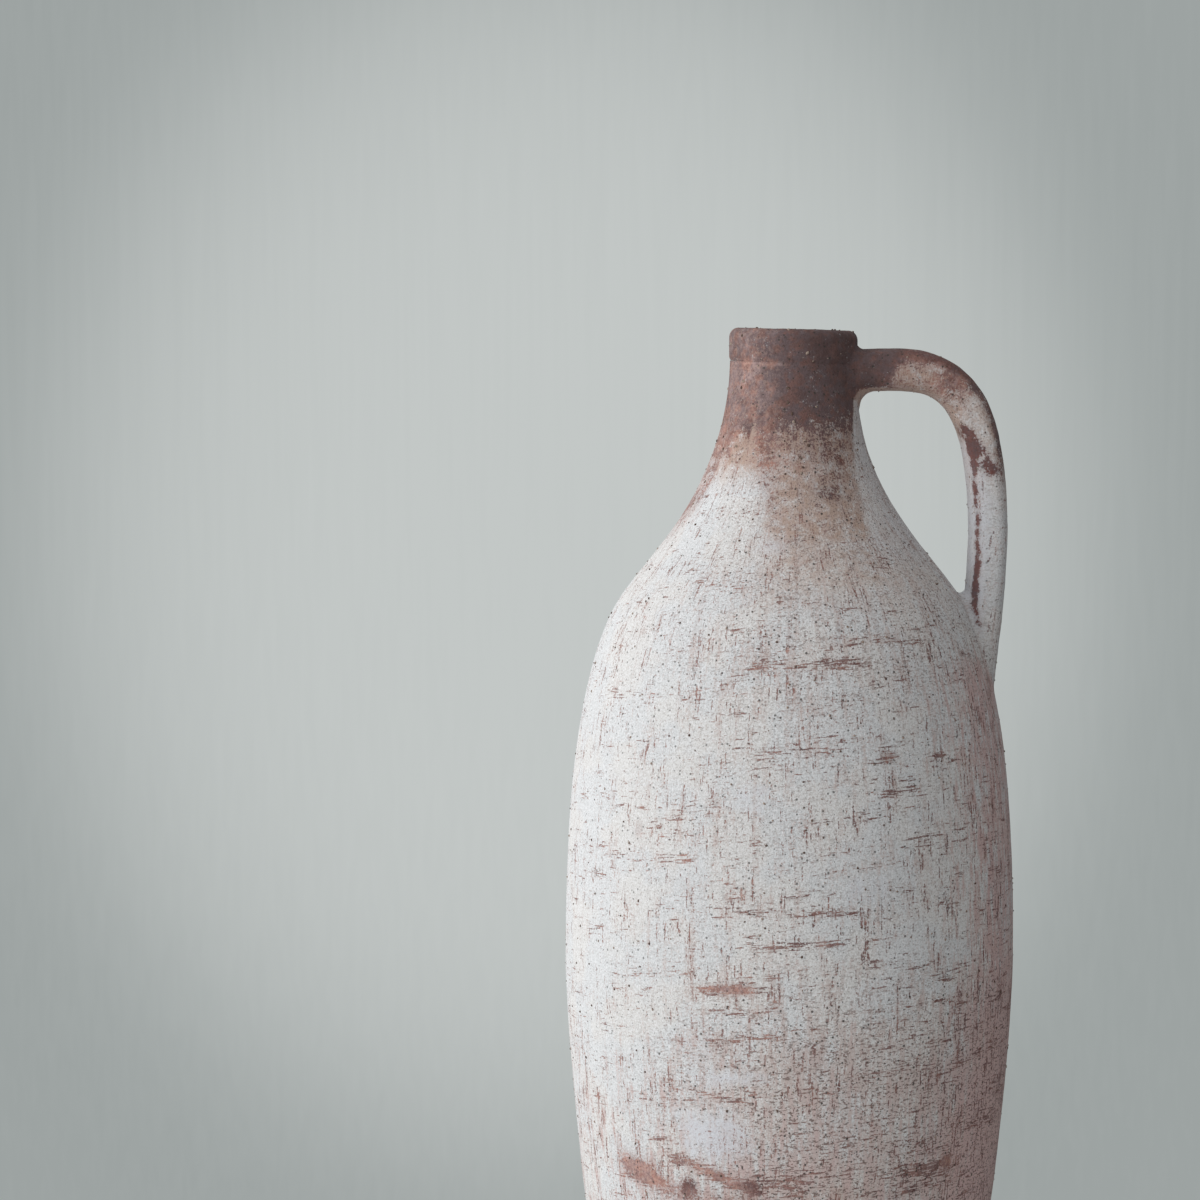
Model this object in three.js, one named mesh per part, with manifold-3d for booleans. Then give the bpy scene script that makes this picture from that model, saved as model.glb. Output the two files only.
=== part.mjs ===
// Tall stoneware jug used as a vase, built by hand in clay sections that are luted together.
// Millimetres, +Z up. The origin is on the jug's own axis, at the foot. The handle points to +X.

import * as THREE from 'three';
import { mergeVertices } from 'three/addons/utils/BufferGeometryUtils.js';
import Module from 'manifold-3d';

const wasm = await Module();
wasm.setup();

// Outline of the body: radii, and heights set one above the other from the foot
const footRadius = 64;
const bellyHeight = 221;
const bellyRadius = 95.5;
const shoulderRise = 148;
const shoulderRadius = 75;
const neckRise = 104;
const neckRadius = 26.6;
const collarHeight = 14;

// How steeply the outline leans out at the foot and in at the shoulder, per millimetre of height
const footLean = 0.3;
const shoulderLean = 0.52;

// How much of each stretch its end tangents govern
const footTension = 0.354;
const bellyTensionBelow = 0.136;
const bellyTensionAbove = 0.466;
const shoulderTensionBelow = 0.187;
const shoulderTensionAbove = 0.2;
const neckTension = 0.55;

// Clay thicknesses, and the turned underside
const wallThickness = 7;
const floorThickness = 10;
const footRingWidth = 12;
const footRecess = 3;
const footBevel = 1.5;

// Seams between the sections, each with a tongue along the middle of the wall, and the slip in them
const bellySeamAboveBelly = 16;
const neckSeamBelowCollar = 48;
const tongueHeight = 1.6;
const tongueWidth = 4.2;
const slipGap = 0.3;

// Coils pressed into the inside of the floor joint and over the inside of the belly seam
const floorCoilRadius = 9;
const bellyCoilWidth = 24;
const bellyCoilBulge = 2.4;

// Rim collar
const collarProud = 0.5;
const mouthRadius = 19;
const creaseRadius = 0.8;
const lipOuterRadius = 3.8;
const lipInnerRadius = 2.4;

// The thrown neck leans: its rim stands off the axis and dips, both towards the handle
const rimShift = 0.9;
const rimTiltDegrees = 1.7;

// Handle: a pulled strap, measured down from the rim and out from the axis to its centreline
const handleTopDrop = 17.3;
const handleReach = 83.8;
const gripTopDrop = 86.6;
const handleFootDrop = 162;
const topTension = 0.49;
const bendTension = 1.15;
const gripTension = 0.28;
const footRootTension = 0.42;
const handleFootLean = 0.08;
const handleWidth = 27;
const handleFootWidth = 31;
const handleThickness = 18.2;
const gripThickness = 15.8;
const sectionSquareness = 2.9;
const rootSink = 3;
const rootRun = 3.5;
const footSink = 10.8;

// Clay worked into the corners round the two handle roots. It is pressed in tight on top of the strap
// at the neck, and in the narrow corner between the strap and the shoulder
const upperLuteRadius = 7.5;
const upperLuteTopRadius = 3;
const lowerLuteRadius = 7.5;
const lowerLuteGapRadius = 2.4;
const luteEdgeDepth = 0.9;

// Facets
const roundSteps = 48;
const lowerSteps = 9;
const upperSteps = 14;
const neckSteps = 6;
const sectionSteps = 24;
const handleRings = 26;
const luteRings = 34;

// Heights that follow from the sizes above
const shoulderHeight = bellyHeight + shoulderRise;
const collarBase = shoulderHeight + neckRise;
const rimHeight = collarBase + collarHeight;
const bellySeam = bellyHeight + bellySeamAboveBelly;
const neckSeam = collarBase - neckSeamBelowCollar;

// The three sections of wall, each half a slip gap short of its seams, with its steps up its height
const section = (bottomSeam, topSeam, steps) => ({
  bottom: bottomSeam + slipGap / 2,
  top: topSeam - slipGap / 2,
  steps,
});
const lowerSection = section(floorThickness, bellySeam, lowerSteps);
const upperSection = section(bellySeam, neckSeam, upperSteps);
const neckSection = section(neckSeam, collarBase, neckSteps);

// Finishes: chalky white slip over terracotta, bare brown clay at the neck, raw clay inside
const slip = () => new THREE.MeshStandardMaterial({ color: 0xcfcac5, roughness: 0.95, metalness: 0 });
const bareClay = () => new THREE.MeshStandardMaterial({ color: 0x7a5a50, roughness: 0.9, metalness: 0 });
const rawClay = () => new THREE.MeshStandardMaterial({ color: 0xa0745e, roughness: 0.95, metalness: 0 });
const wornSlip = () => new THREE.MeshStandardMaterial({ color: 0xb59a88, roughness: 0.92, metalness: 0 });

// Outline of the outside in three curves, foot to belly, belly to shoulder and shoulder to collar
const point = (radius, height) => new THREE.Vector2(radius, height);
const outlineCurves = [
  new THREE.CubicBezierCurve(
    point(footRadius, 0),
    point(footRadius + footLean * footTension * bellyHeight, footTension * bellyHeight),
    point(bellyRadius, bellyHeight * (1 - bellyTensionBelow)),
    point(bellyRadius, bellyHeight),
  ),
  new THREE.CubicBezierCurve(
    point(bellyRadius, bellyHeight),
    point(bellyRadius, bellyHeight + bellyTensionAbove * shoulderRise),
    point(
      shoulderRadius + shoulderLean * shoulderTensionBelow * shoulderRise,
      shoulderHeight - shoulderTensionBelow * shoulderRise,
    ),
    point(shoulderRadius, shoulderHeight),
  ),
  new THREE.CubicBezierCurve(
    point(shoulderRadius, shoulderHeight),
    point(
      shoulderRadius - shoulderLean * shoulderTensionAbove * neckRise,
      shoulderHeight + shoulderTensionAbove * neckRise,
    ),
    point(neckRadius, collarBase - neckTension * neckRise),
    point(neckRadius, collarBase),
  ),
];

// Point of the outline at a height, and the direction in which the outline climbs there
function outlineAt(height) {
  const clamped = THREE.MathUtils.clamp(height, 0, collarBase);
  const curve = outlineCurves.find((stretch) => clamped <= stretch.v3.y) ?? outlineCurves.at(-1);
  let low = 0;
  let high = 1;
  for (let halving = 0; halving < 40; halving += 1) {
    const middle = (low + high) / 2;
    if (curve.getPoint(middle).y < clamped) low = middle;
    else high = middle;
  }
  const place = curve.getPoint(low);
  const climb = curve.getTangent(THREE.MathUtils.clamp(low, 0.001, 0.999));
  place.addScaledVector(climb, (height - clamped) / climb.y);
  return { place, climb };
}

const outerRadiusAt = (height) => outlineAt(height).place.x;

// Point inside the wall: a depth from the outer skin, square to it
function wallPoint(height, depth) {
  const { place, climb } = outlineAt(height);
  return point(place.x - climb.y * depth, place.y + climb.x * depth);
}

// Points along the wall at one depth, from one height to another
function wallRun(from, to, depth, steps) {
  const run = [];
  for (let step = 0; step <= steps; step += 1) {
    run.push(wallPoint(THREE.MathUtils.lerp(from, to, step / steps), depth));
  }
  return run;
}

// Radius at a height, a depth in from the outer skin
function radiusInWall(height, depth) {
  const { place, climb } = outlineAt(height);
  return place.x - depth / climb.y;
}

// End face of a section, outside to inside: a flat land, the tongue and a second land
const seamCorners = [
  { depth: 0, lift: 0 },
  { depth: (wallThickness - tongueWidth) / 2, lift: 0 },
  { depth: wallThickness / 2, lift: tongueHeight },
  { depth: (wallThickness + tongueWidth) / 2, lift: 0 },
  { depth: wallThickness, lift: 0 },
];

// A seam in the wall lies square to it, and the seam on the floor slab lies level
const wallSeam = (height) => seamCorners.map(({ depth, lift }) => wallPoint(height + lift, depth));
const floorSeam = (height) => seamCorners
  .map(({ depth, lift }) => point(radiusInWall(height, depth), height + lift));

// Arc of an outline about a centre, from one angle to another in degrees
function arc(centreX, centreY, radius, fromDegrees, toDegrees, steps) {
  const points = [];
  for (let step = 0; step <= steps; step += 1) {
    const angle = THREE.MathUtils.degToRad(THREE.MathUtils.lerp(fromDegrees, toDegrees, step / steps));
    points.push(point(centreX + radius * Math.cos(angle), centreY + radius * Math.sin(angle)));
  }
  return points;
}

// The lean of the neck, which grows from nothing at the neck seam to the full amount at the collar
function leanNeck(geometry) {
  const position = geometry.attributes.position;
  const tilt = Math.tan(THREE.MathUtils.degToRad(rimTiltDegrees));
  for (let index = 0; index < position.count; index += 1) {
    const height = position.getZ(index);
    const share = THREE.MathUtils.smoothstep(height, neckSeam, collarBase);
    const across = position.getX(index);
    position.setXYZ(index, across + rimShift * share, position.getY(index), height - tilt * across * share);
  }
  return geometry;
}

// Solid of revolution about the jug's axis; the profile runs up the outside and down the inside
function revolve(profile) {
  const turned = new THREE.LatheGeometry(profile, roundSteps);
  turned.rotateX(Math.PI / 2);
  return leanNeck(turned);
}

const revolveRing = (profile) => revolve([...profile, profile[0]]);

// Closed solid from a geometry, with shared corners merged and collapsed triangles left out
function solidOf(geometry) {
  const bare = new THREE.BufferGeometry();
  bare.setAttribute('position', geometry.attributes.position.clone());
  bare.setIndex(geometry.index);
  const merged = mergeVertices(bare, 1e-4);
  const corners = merged.index.array;
  const kept = [];
  for (let first = 0; first < corners.length; first += 3) {
    const [a, b, c] = [corners[first], corners[first + 1], corners[first + 2]];
    if (a !== b && b !== c && c !== a) kept.push(a, b, c);
  }
  return new wasm.Manifold(new wasm.Mesh({
    numProp: 3,
    vertProperties: new Float32Array(merged.attributes.position.array),
    triVerts: new Uint32Array(kept),
  }));
}

function geometryOf(solid) {
  const mesh = solid.getMesh();
  const geometry = new THREE.BufferGeometry();
  geometry.setAttribute('position', new THREE.BufferAttribute(new Float32Array(mesh.vertProperties), 3));
  geometry.setIndex(new THREE.BufferAttribute(new Uint32Array(mesh.triVerts), 1));
  geometry.computeVertexNormals();
  return geometry;
}

// Floor slab: a disc with a turned recess that leaves a foot ring, and a tongue for the wall
function floorSlab() {
  const top = floorThickness - slipGap / 2;
  const recessRadius = footRadius - footRingWidth;
  return revolve([
    point(0, footRecess),
    point(recessRadius - footRecess, footRecess),
    point(recessRadius, 0),
    point(footRadius - footBevel, 0),
    wallPoint(footBevel, 0),
    ...floorSeam(top),
    point(0, top),
  ]);
}

// One section of wall between two seams
function wallSection({ bottom, top, steps }, bottomSeam) {
  return revolveRing([
    ...bottomSeam(bottom).reverse(),
    ...wallRun(bottom, top, 0, steps).slice(1, -1),
    ...wallSeam(top),
    ...wallRun(top, bottom, wallThickness, steps).slice(1, -1),
  ]);
}

// Coil pressed into the corner between floor and wall and smoothed hollow
function floorCoil() {
  const floorTop = floorThickness + slipGap / 2;
  const wallDepth = wallThickness + slipGap;
  const coilTop = floorTop + floorCoilRadius;
  const wallRadius = radiusInWall(coilTop, wallDepth);
  const hollow = arc(wallRadius - floorCoilRadius, coilTop, floorCoilRadius, 0, -90, 4);
  return revolveRing([
    point(radiusInWall(floorTop, wallDepth), floorTop),
    ...hollow,
  ]);
}

// Coil smeared over the inside of the belly seam, thick in the middle and thin at its edges
function bellyCoil() {
  const wallDepth = wallThickness + slipGap;
  const edge = 0.4;
  const steps = 6;
  const low = bellySeam - bellyCoilWidth / 2;
  const high = bellySeam + bellyCoilWidth / 2;
  const inner = [];
  for (let step = 0; step <= steps; step += 1) {
    const share = step / steps;
    const bulge = edge + bellyCoilBulge * Math.sin(Math.PI * share);
    inner.push(wallPoint(THREE.MathUtils.lerp(high, low, share), wallDepth + bulge));
  }
  return revolveRing([...wallRun(low, high, wallDepth, steps), ...inner]);
}

// Rim collar: a band proud of the neck above a rolled crease, with a rounded lip
function rimCollar() {
  const base = collarBase + slipGap / 2;
  const outer = neckRadius + collarProud;
  const face = wallSeam(base);
  const mouth = Math.min(mouthRadius, outer - lipOuterRadius - lipInnerRadius);
  return revolveRing([
    ...face.slice(1).reverse(),
    point(outer - creaseRadius, base),
    ...arc(outer - creaseRadius, base + creaseRadius, creaseRadius, -90, 0, 3).slice(1),
    ...arc(outer - lipOuterRadius, rimHeight - lipOuterRadius, lipOuterRadius, 0, 90, 5),
    ...arc(mouth + lipInnerRadius, rimHeight - lipInnerRadius, lipInnerRadius, 90, 180, 4),
  ]);
}

// Centreline of the handle: out of the neck, over the bend, down the grip and into the shoulder
const handleStart = rimHeight - handleTopDrop;
const gripTop = rimHeight - gripTopDrop;
const handleFoot = rimHeight - handleFootDrop;
const spine = (radius, height) => new THREE.Vector3(radius, 0, height);
const rootOnNeck = spine(outerRadiusAt(handleStart) - rootSink, handleStart);
const rootInWall = spine(rootOnNeck.x - rootRun, handleStart);
const rootOnShoulder = spine(outerRadiusAt(handleFoot) - footSink, handleFoot);
const gripRun = gripTop - handleFoot;
const handleLine = new THREE.CurvePath();
handleLine.add(new THREE.LineCurve3(rootInWall, rootOnNeck));
handleLine.add(new THREE.CubicBezierCurve3(
  rootOnNeck,
  spine(THREE.MathUtils.lerp(rootOnNeck.x, handleReach, topTension), handleStart),
  spine(handleReach, THREE.MathUtils.lerp(gripTop, handleStart, bendTension)),
  spine(handleReach, gripTop),
));
handleLine.add(new THREE.CubicBezierCurve3(
  spine(handleReach, gripTop),
  spine(handleReach, gripTop - gripTension * gripRun),
  spine(
    rootOnShoulder.x + handleFootLean * footRootTension * gripRun,
    handleFoot + footRootTension * gripRun,
  ),
  rootOnShoulder,
));

// Share of the centreline by which the strap has thinned to the grip, past which it widens again
const gripShare = 0.53;

// Ring of the strap's section at a share of the centreline: a rounded rectangle by formula
function handleRing(share, spread) {
  const place = handleLine.getPointAt(share);
  const along = handleLine.getTangentAt(THREE.MathUtils.clamp(share, 0.001, 0.999));
  const across = new THREE.Vector3(along.z, 0, -along.x);
  const toGrip = THREE.MathUtils.smoothstep(share, 0, gripShare);
  const toFoot = THREE.MathUtils.smoothstep(share, gripShare, 1);
  const halfThickness = THREE.MathUtils.lerp(handleThickness, gripThickness, toGrip) / 2;
  const halfWidth = THREE.MathUtils.lerp(handleWidth, handleFootWidth, toFoot) / 2;
  const round = (value) => Math.sign(value) * Math.abs(value) ** (2 / sectionSquareness);
  const ring = [];
  for (let step = 0; step < sectionSteps; step += 1) {
    const angle = (2 * Math.PI * step) / sectionSteps;
    const direction = new THREE.Vector3(0, Math.sin(angle), 0).addScaledVector(across, Math.cos(angle));
    const rim = new THREE.Vector3(0, round(Math.sin(angle)) * halfWidth, 0)
      .addScaledVector(across, round(Math.cos(angle)) * halfThickness)
      .add(place);
    ring.push(rim.addScaledVector(direction, spread(rim, direction, Math.cos(angle))));
  }
  return ring;
}

// Solid through a row of rings, closed by a fan at each end
function loft(rings) {
  const steps = rings[0].length;
  const corners = rings.flat();
  const middleOf = (ring) => ring.reduce((sum, corner) => sum.add(corner), new THREE.Vector3())
    .divideScalar(ring.length);
  const first = corners.push(middleOf(rings[0])) - 1;
  const last = corners.push(middleOf(rings.at(-1))) - 1;
  const lastRing = (rings.length - 1) * steps;
  const index = [];
  for (let step = 0; step < steps; step += 1) {
    const next = (step + 1) % steps;
    for (let row = 0; row < lastRing; row += steps) {
      index.push(row + step, row + next, row + steps + step);
      index.push(row + next, row + steps + next, row + steps + step);
    }
    index.push(first, next, step);
    index.push(last, lastRing + step, lastRing + next);
  }
  const geometry = new THREE.BufferGeometry().setFromPoints(corners);
  geometry.setIndex(index);
  return geometry;
}

function handleStretch(from, to, rings, spread) {
  const row = [];
  for (let ring = 0; ring <= rings; ring += 1) {
    row.push(handleRing(THREE.MathUtils.lerp(from, to, ring / rings), spread));
  }
  return solidOf(loft(row));
}

// The jug's outside as one solid, a slip gap larger, which cuts whatever is luted onto it;
// above the rim it runs on, so that no clay crosses the mouth
function bodyEnvelope() {
  const collarRadius = neckRadius + collarProud + slipGap;
  const aboveMouth = rimHeight + upperLuteRadius + slipGap;
  const collar = solidOf(revolve([
    point(0, collarBase - slipGap),
    point(collarRadius, collarBase - slipGap),
    point(collarRadius, aboveMouth),
    point(0, aboveMouth),
  ]));
  const skinRun = ({ bottom, top, steps }) => wallRun(bottom, top, -slipGap, steps);
  const body = solidOf(revolve([
    point(0, 0),
    wallPoint(0, -slipGap),
    ...skinRun(lowerSection),
    ...skinRun(upperSection),
    ...skinRun(neckSection),
    point(0, collarBase),
  ]));
  return body.add(collar);
}

const envelope = bodyEnvelope();
const handleSolid = handleStretch(0, 1, handleRings, () => 0);

function handle() {
  return geometryOf(handleSolid.subtract(envelope));
}

// How far a corner stands clear of the body, and the direction straight out of the body there
function offBody(corner) {
  const { place, climb } = outlineAt(corner.z);
  const outwards = new THREE.Vector3(corner.x, corner.y, 0).normalize().multiplyScalar(climb.y);
  outwards.z = -climb.x;
  return { clear: (Math.hypot(corner.x, corner.y) - place.x) * climb.y, outwards };
}

// Whether clay fills a place beside the strap. The corner's clay is hollowed by a round that touches the
// strap, and the body a little under its skin, so that the clay ends in a firm edge and not in a feather.
// No clay reaches farther from the strap than where that round touches the body
function cornerFilled(place, direction, offStrap, radius) {
  const { clear, outwards } = offBody(place);
  const facing = direction.dot(outwards);
  const fromStrap = radius - offStrap;
  const offDeep = clear + luteEdgeDepth;
  const fromBody = radius - offDeep;
  const between = fromStrap > fromBody * facing && fromBody > fromStrap * facing;
  const squared = fromStrap ** 2 + fromBody ** 2 - 2 * fromStrap * fromBody * facing;
  const hollowed = between && squared > radius ** 2 * (1 - facing ** 2);
  return offStrap < radius * (1 - facing) && (offDeep < 0 || hollowed);
}

// Clay worked into the corner round a root, with a radius for the flanks of the strap, one for its
// outer side and one for the side that faces the gap
function rootLute(from, to, radii) {
  const swell = (corner, direction, facingGap) => {
    const turned = facingGap > 0 ? radii.gap : radii.outer;
    const radius = THREE.MathUtils.lerp(radii.flank, turned, Math.abs(facingGap));
    let low = 0;
    let high = 2 * radius;
    for (let halving = 0; halving < 24; halving += 1) {
      const middle = (low + high) / 2;
      const place = corner.clone().addScaledVector(direction, middle);
      if (cornerFilled(place, direction, middle, radius)) low = middle;
      else high = middle;
    }
    return low;
  };
  const swollen = handleStretch(from, to, luteRings, swell);
  const ringStep = (to - from) / luteRings;
  const strapStart = Math.max(from - ringStep, 0);
  const strapEnd = Math.min(to + ringStep, 1);
  const strap = handleStretch(strapStart, strapEnd, luteRings + 1, () => slipGap);
  return geometryOf(swollen.subtract(strap).subtract(envelope));
}

const upperRadii = { flank: upperLuteRadius, outer: upperLuteTopRadius, gap: upperLuteRadius };
const lowerRadii = { flank: lowerLuteRadius, outer: lowerLuteRadius, gap: lowerLuteGapRadius };

// The assembly, foot to rim and then the handle
function piece(name, geometry, material) {
  const mesh = new THREE.Mesh(geometry, material);
  mesh.name = name;
  return mesh;
}

const jug = new THREE.Group();
jug.name = 'ceramic_pitcher_vase';
jug.add(
  piece('floor_slab', floorSlab(), rawClay()),
  piece('floor_coil', floorCoil(), rawClay()),
  piece('lower_wall', wallSection(lowerSection, floorSeam), slip()),
  piece('belly_coil', bellyCoil(), rawClay()),
  piece('upper_wall', wallSection(upperSection, wallSeam), slip()),
  piece('neck', wallSection(neckSection, wallSeam), bareClay()),
  piece('rim_collar', rimCollar(), bareClay()),
  piece('handle', handle(), wornSlip()),
  piece('upper_handle_lute', rootLute(0, 0.15, upperRadii), bareClay()),
  piece('lower_handle_lute', rootLute(0.65, 1, lowerRadii), slip()),
);

export default jug;
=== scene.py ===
# Tall hand-built stoneware jug: white slip brushed thin over terracotta, a bare brown neck and collar,
# and a worn strap handle. Metres, +Z up, with the handle towards +X.

import math

import bpy
import numpy as np
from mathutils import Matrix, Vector, noise


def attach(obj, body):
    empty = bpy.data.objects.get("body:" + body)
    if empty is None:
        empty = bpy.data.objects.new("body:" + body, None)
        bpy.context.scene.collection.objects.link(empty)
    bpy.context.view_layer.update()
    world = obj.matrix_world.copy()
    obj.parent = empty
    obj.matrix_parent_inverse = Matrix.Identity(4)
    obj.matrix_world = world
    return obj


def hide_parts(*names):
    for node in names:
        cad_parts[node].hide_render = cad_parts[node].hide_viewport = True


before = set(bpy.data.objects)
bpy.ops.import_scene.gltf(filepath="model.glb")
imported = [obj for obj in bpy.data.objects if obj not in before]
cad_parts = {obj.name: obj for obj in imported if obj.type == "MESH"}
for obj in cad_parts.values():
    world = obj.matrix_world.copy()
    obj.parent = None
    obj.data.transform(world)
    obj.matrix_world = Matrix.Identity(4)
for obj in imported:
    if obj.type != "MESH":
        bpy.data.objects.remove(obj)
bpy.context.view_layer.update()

MM = 0.001
TAU = 2 * math.pi

# Outline of the body, as in the clay model: radii, and rises from one height to the next
FOOT_RADIUS = 64 * MM
BELLY_HEIGHT = 221 * MM
BELLY_RADIUS = 95.5 * MM
SHOULDER_RISE = 148 * MM
SHOULDER_RADIUS = 75 * MM
NECK_RISE = 104 * MM
NECK_RADIUS = 26.6 * MM
COLLAR_HEIGHT = 14 * MM
FOOT_LEAN = 0.3
SHOULDER_LEAN = 0.52
FOOT_TENSION = 0.354
BELLY_TENSION_BELOW = 0.136
BELLY_TENSION_ABOVE = 0.466
SHOULDER_TENSION_BELOW = 0.187
SHOULDER_TENSION_ABOVE = 0.2
NECK_TENSION = 0.55

# Clay thicknesses and the turned foot
WALL = 7 * MM
FLOOR = 10 * MM
FOOT_RING = 12 * MM
FOOT_RECESS = 3 * MM
FOOT_BEVEL = 1.5 * MM
AXIS_CAP = 1 * MM

# Heights that follow, and the seams between the clay sections
SHOULDER_HEIGHT = BELLY_HEIGHT + SHOULDER_RISE
COLLAR_BASE = SHOULDER_HEIGHT + NECK_RISE
RIM_HEIGHT = COLLAR_BASE + COLLAR_HEIGHT
BELLY_SEAM = BELLY_HEIGHT + 16 * MM
NECK_SEAM = COLLAR_BASE - 48 * MM

# Collar: a band proud of the neck, a worn crease under it and a rounded lip
COLLAR_PROUD = 0.5 * MM
MOUTH_RADIUS = 19 * MM
CREASE_RADIUS = 0.8 * MM
CREASE_DEPTH = 0.15 * MM
LIP_OUTER = 3.8 * MM
LIP_INNER = 2.4 * MM
COLLAR_BLEND = 5 * MM
THROAT = 6 * MM

# The neck leans, so that the rim stands off the axis and dips towards the handle
RIM_SHIFT = 0.9 * MM
RIM_TILT = math.tan(math.radians(1.7))

# Handle, measured down from the rim and out from the axis to its centreline
HANDLE_TOP = RIM_HEIGHT - 17.3 * MM
HANDLE_REACH = 83.8 * MM
GRIP_TOP = RIM_HEIGHT - 86.6 * MM
HANDLE_FOOT = RIM_HEIGHT - 162 * MM
TOP_TENSION = 0.49
BEND_TENSION = 1.15
GRIP_TENSION = 0.28
FOOT_ROOT_TENSION = 0.42
HANDLE_FOOT_LEAN = 0.08
HANDLE_WIDTH = 27 * MM
HANDLE_FOOT_WIDTH = 31 * MM
HANDLE_THICKNESS = 18.2 * MM
GRIP_THICKNESS = 15.8 * MM
GRIP_SHARE = 0.53
SQUARENESS = 2.9
ROOT_SINK = 3 * MM
ROOT_RUN = 3.5 * MM
FOOT_SINK = 10.8 * MM

# Radii of the clay in the corners: on the strap's flanks, on its outer side and towards the gap
UPPER_LUTE = (7.5 * MM, 3 * MM, 7.5 * MM)
LOWER_LUTE = (7.5 * MM, 7.5 * MM, 2.4 * MM)
LUTE_BURIED = 0.06 * MM

# Stretches of the strap that the clay in the corners lies round, as shares of its length
UPPER_ROOT = (0, 0.15)
LOWER_ROOT = (0.65, 1)

# Fineness of the modelled surface
ROUND_STEPS = 400
SKIN_STEP = 1.5 * MM
NECK_STEP = 1 * MM
COLLAR_STEP = 0.5 * MM
CURVE_STEPS = 400
ROOT_STEPS = 20
INSIDE_STEP = 9 * MM
STRAP_RINGS = 210
STRAP_STEPS = 72
SEAM_SUPPORT = 0.15 * MM
HALVINGS = 24
SHARP_EDGE = math.radians(42)


# Small helpers

def srgb(red, green, blue):
    """Linear colour of a shade given in 0 to 255."""
    levels = np.array([red, green, blue]) / 255
    linear = np.where(levels <= 0.04045, levels / 12.92, ((levels + 0.055) / 1.055) ** 2.4)
    return (*linear, 1.0)


def smooth(low, high, values):
    """0 below low, 1 above high and a smooth rise between; low may be the larger."""
    share = np.clip((values - low) / (high - low), 0, 1)
    return share * share * (3 - 2 * share)


def bezier(corners):
    """Points along a cubic curve."""
    share = np.linspace(0, 1, CURVE_STEPS)[:, None]
    a, b, c, d = np.array(corners, float)
    rest = 1 - share
    return rest**3 * a + 3 * rest**2 * share * b + 3 * rest * share**2 * c + share**3 * d


def run_along(line):
    """Length along a line at each of its points."""
    steps = np.linalg.norm(np.diff(line, axis=0), axis=1)
    return np.concatenate([[0], np.cumsum(steps)])


def add_object(name, data):
    """Object with this mesh, lamp or camera, in the scene."""
    made = bpy.data.objects.new(name, data)
    bpy.context.scene.collection.objects.link(made)
    return made


# Body outline

def body_outline():
    """Radius, height, outward normal and length along the outside, from the foot to the collar."""
    belly_low = BELLY_HEIGHT * (1 - BELLY_TENSION_BELOW)
    shoulder_in = SHOULDER_TENSION_BELOW * SHOULDER_RISE
    shoulder_out = SHOULDER_TENSION_ABOVE * NECK_RISE
    foot_run = FOOT_TENSION * BELLY_HEIGHT
    foot = (FOOT_RADIUS, 0)
    belly = (BELLY_RADIUS, BELLY_HEIGHT)
    shoulder = (SHOULDER_RADIUS, SHOULDER_HEIGHT)
    stretches = [
        [foot, (FOOT_RADIUS + FOOT_LEAN * foot_run, foot_run), (BELLY_RADIUS, belly_low), belly],
        [
            belly,
            (BELLY_RADIUS, BELLY_HEIGHT + BELLY_TENSION_ABOVE * SHOULDER_RISE),
            (SHOULDER_RADIUS + SHOULDER_LEAN * shoulder_in, SHOULDER_HEIGHT - shoulder_in),
            shoulder,
        ],
        [
            shoulder,
            (SHOULDER_RADIUS - SHOULDER_LEAN * shoulder_out, SHOULDER_HEIGHT + shoulder_out),
            (NECK_RADIUS, COLLAR_BASE - NECK_TENSION * NECK_RISE),
            (NECK_RADIUS, COLLAR_BASE),
        ],
    ]
    line = np.vstack([bezier(corners)[1 if index else 0:] for index, corners in enumerate(stretches)])
    climb = np.gradient(line, axis=0)
    climb /= np.linalg.norm(climb, axis=1)[:, None]
    return {
        "radius": line[:, 0],
        "height": line[:, 1],
        "out": climb[:, 1],
        "up": -climb[:, 0],
        "length": run_along(line),
    }


OUTLINE = body_outline()


def outline(what, height):
    """One measure of the outline at a height, or at several."""
    return np.interp(height, OUTLINE["height"], OUTLINE[what])


def lean(points):
    """The neck's lean, which grows from the neck seam to the collar."""
    share = smooth(NECK_SEAM, COLLAR_BASE, points[..., 2])
    leant = points.copy()
    leant[..., 0] += RIM_SHIFT * share
    leant[..., 2] -= RIM_TILT * points[..., 0] * share
    return leant


# Relief of the hand-worked surface: layers of noise, each with its size across and its height
BODY_RELIEF = [(46 * MM, 0.34 * MM), (13 * MM, 0.1 * MM), (4.2 * MM, 0.07 * MM)]
COLLAR_RELIEF = [(21 * MM, 0.32 * MM), (6.5 * MM, 0.2 * MM), (2.4 * MM, 0.1 * MM)]
STRAP_RELIEF = [(24 * MM, 0.42 * MM), (8 * MM, 0.18 * MM), (3 * MM, 0.08 * MM)]


def relief(points, layers):
    """Height of the relief at each point."""
    flat = points.reshape(-1, 3)
    swell = np.zeros(len(flat))
    for size, height in layers:
        swell += height * np.array([noise.noise(Vector(place)) for place in flat / size])
    return swell.reshape(points.shape[:-1])


# Turned pieces: rings of points about the axis

def azimuths():
    """Angles round the axis, from the front towards the handle, in radians."""
    return np.arange(ROUND_STEPS) / ROUND_STEPS * TAU


def ring(radius, height):
    """Points of a plain circle about the axis."""
    turn = azimuths()
    return np.stack([radius * np.sin(turn), -radius * np.cos(turn), np.full(ROUND_STEPS, height)], axis=1)


def skin_ring(height):
    """Points of the body's outside at a height, with its relief."""
    plain = ring(outline("radius", height), height)
    normal = ring(outline("out", height), outline("up", height))
    return plain + relief(plain, BODY_RELIEF)[:, None] * normal


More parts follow.
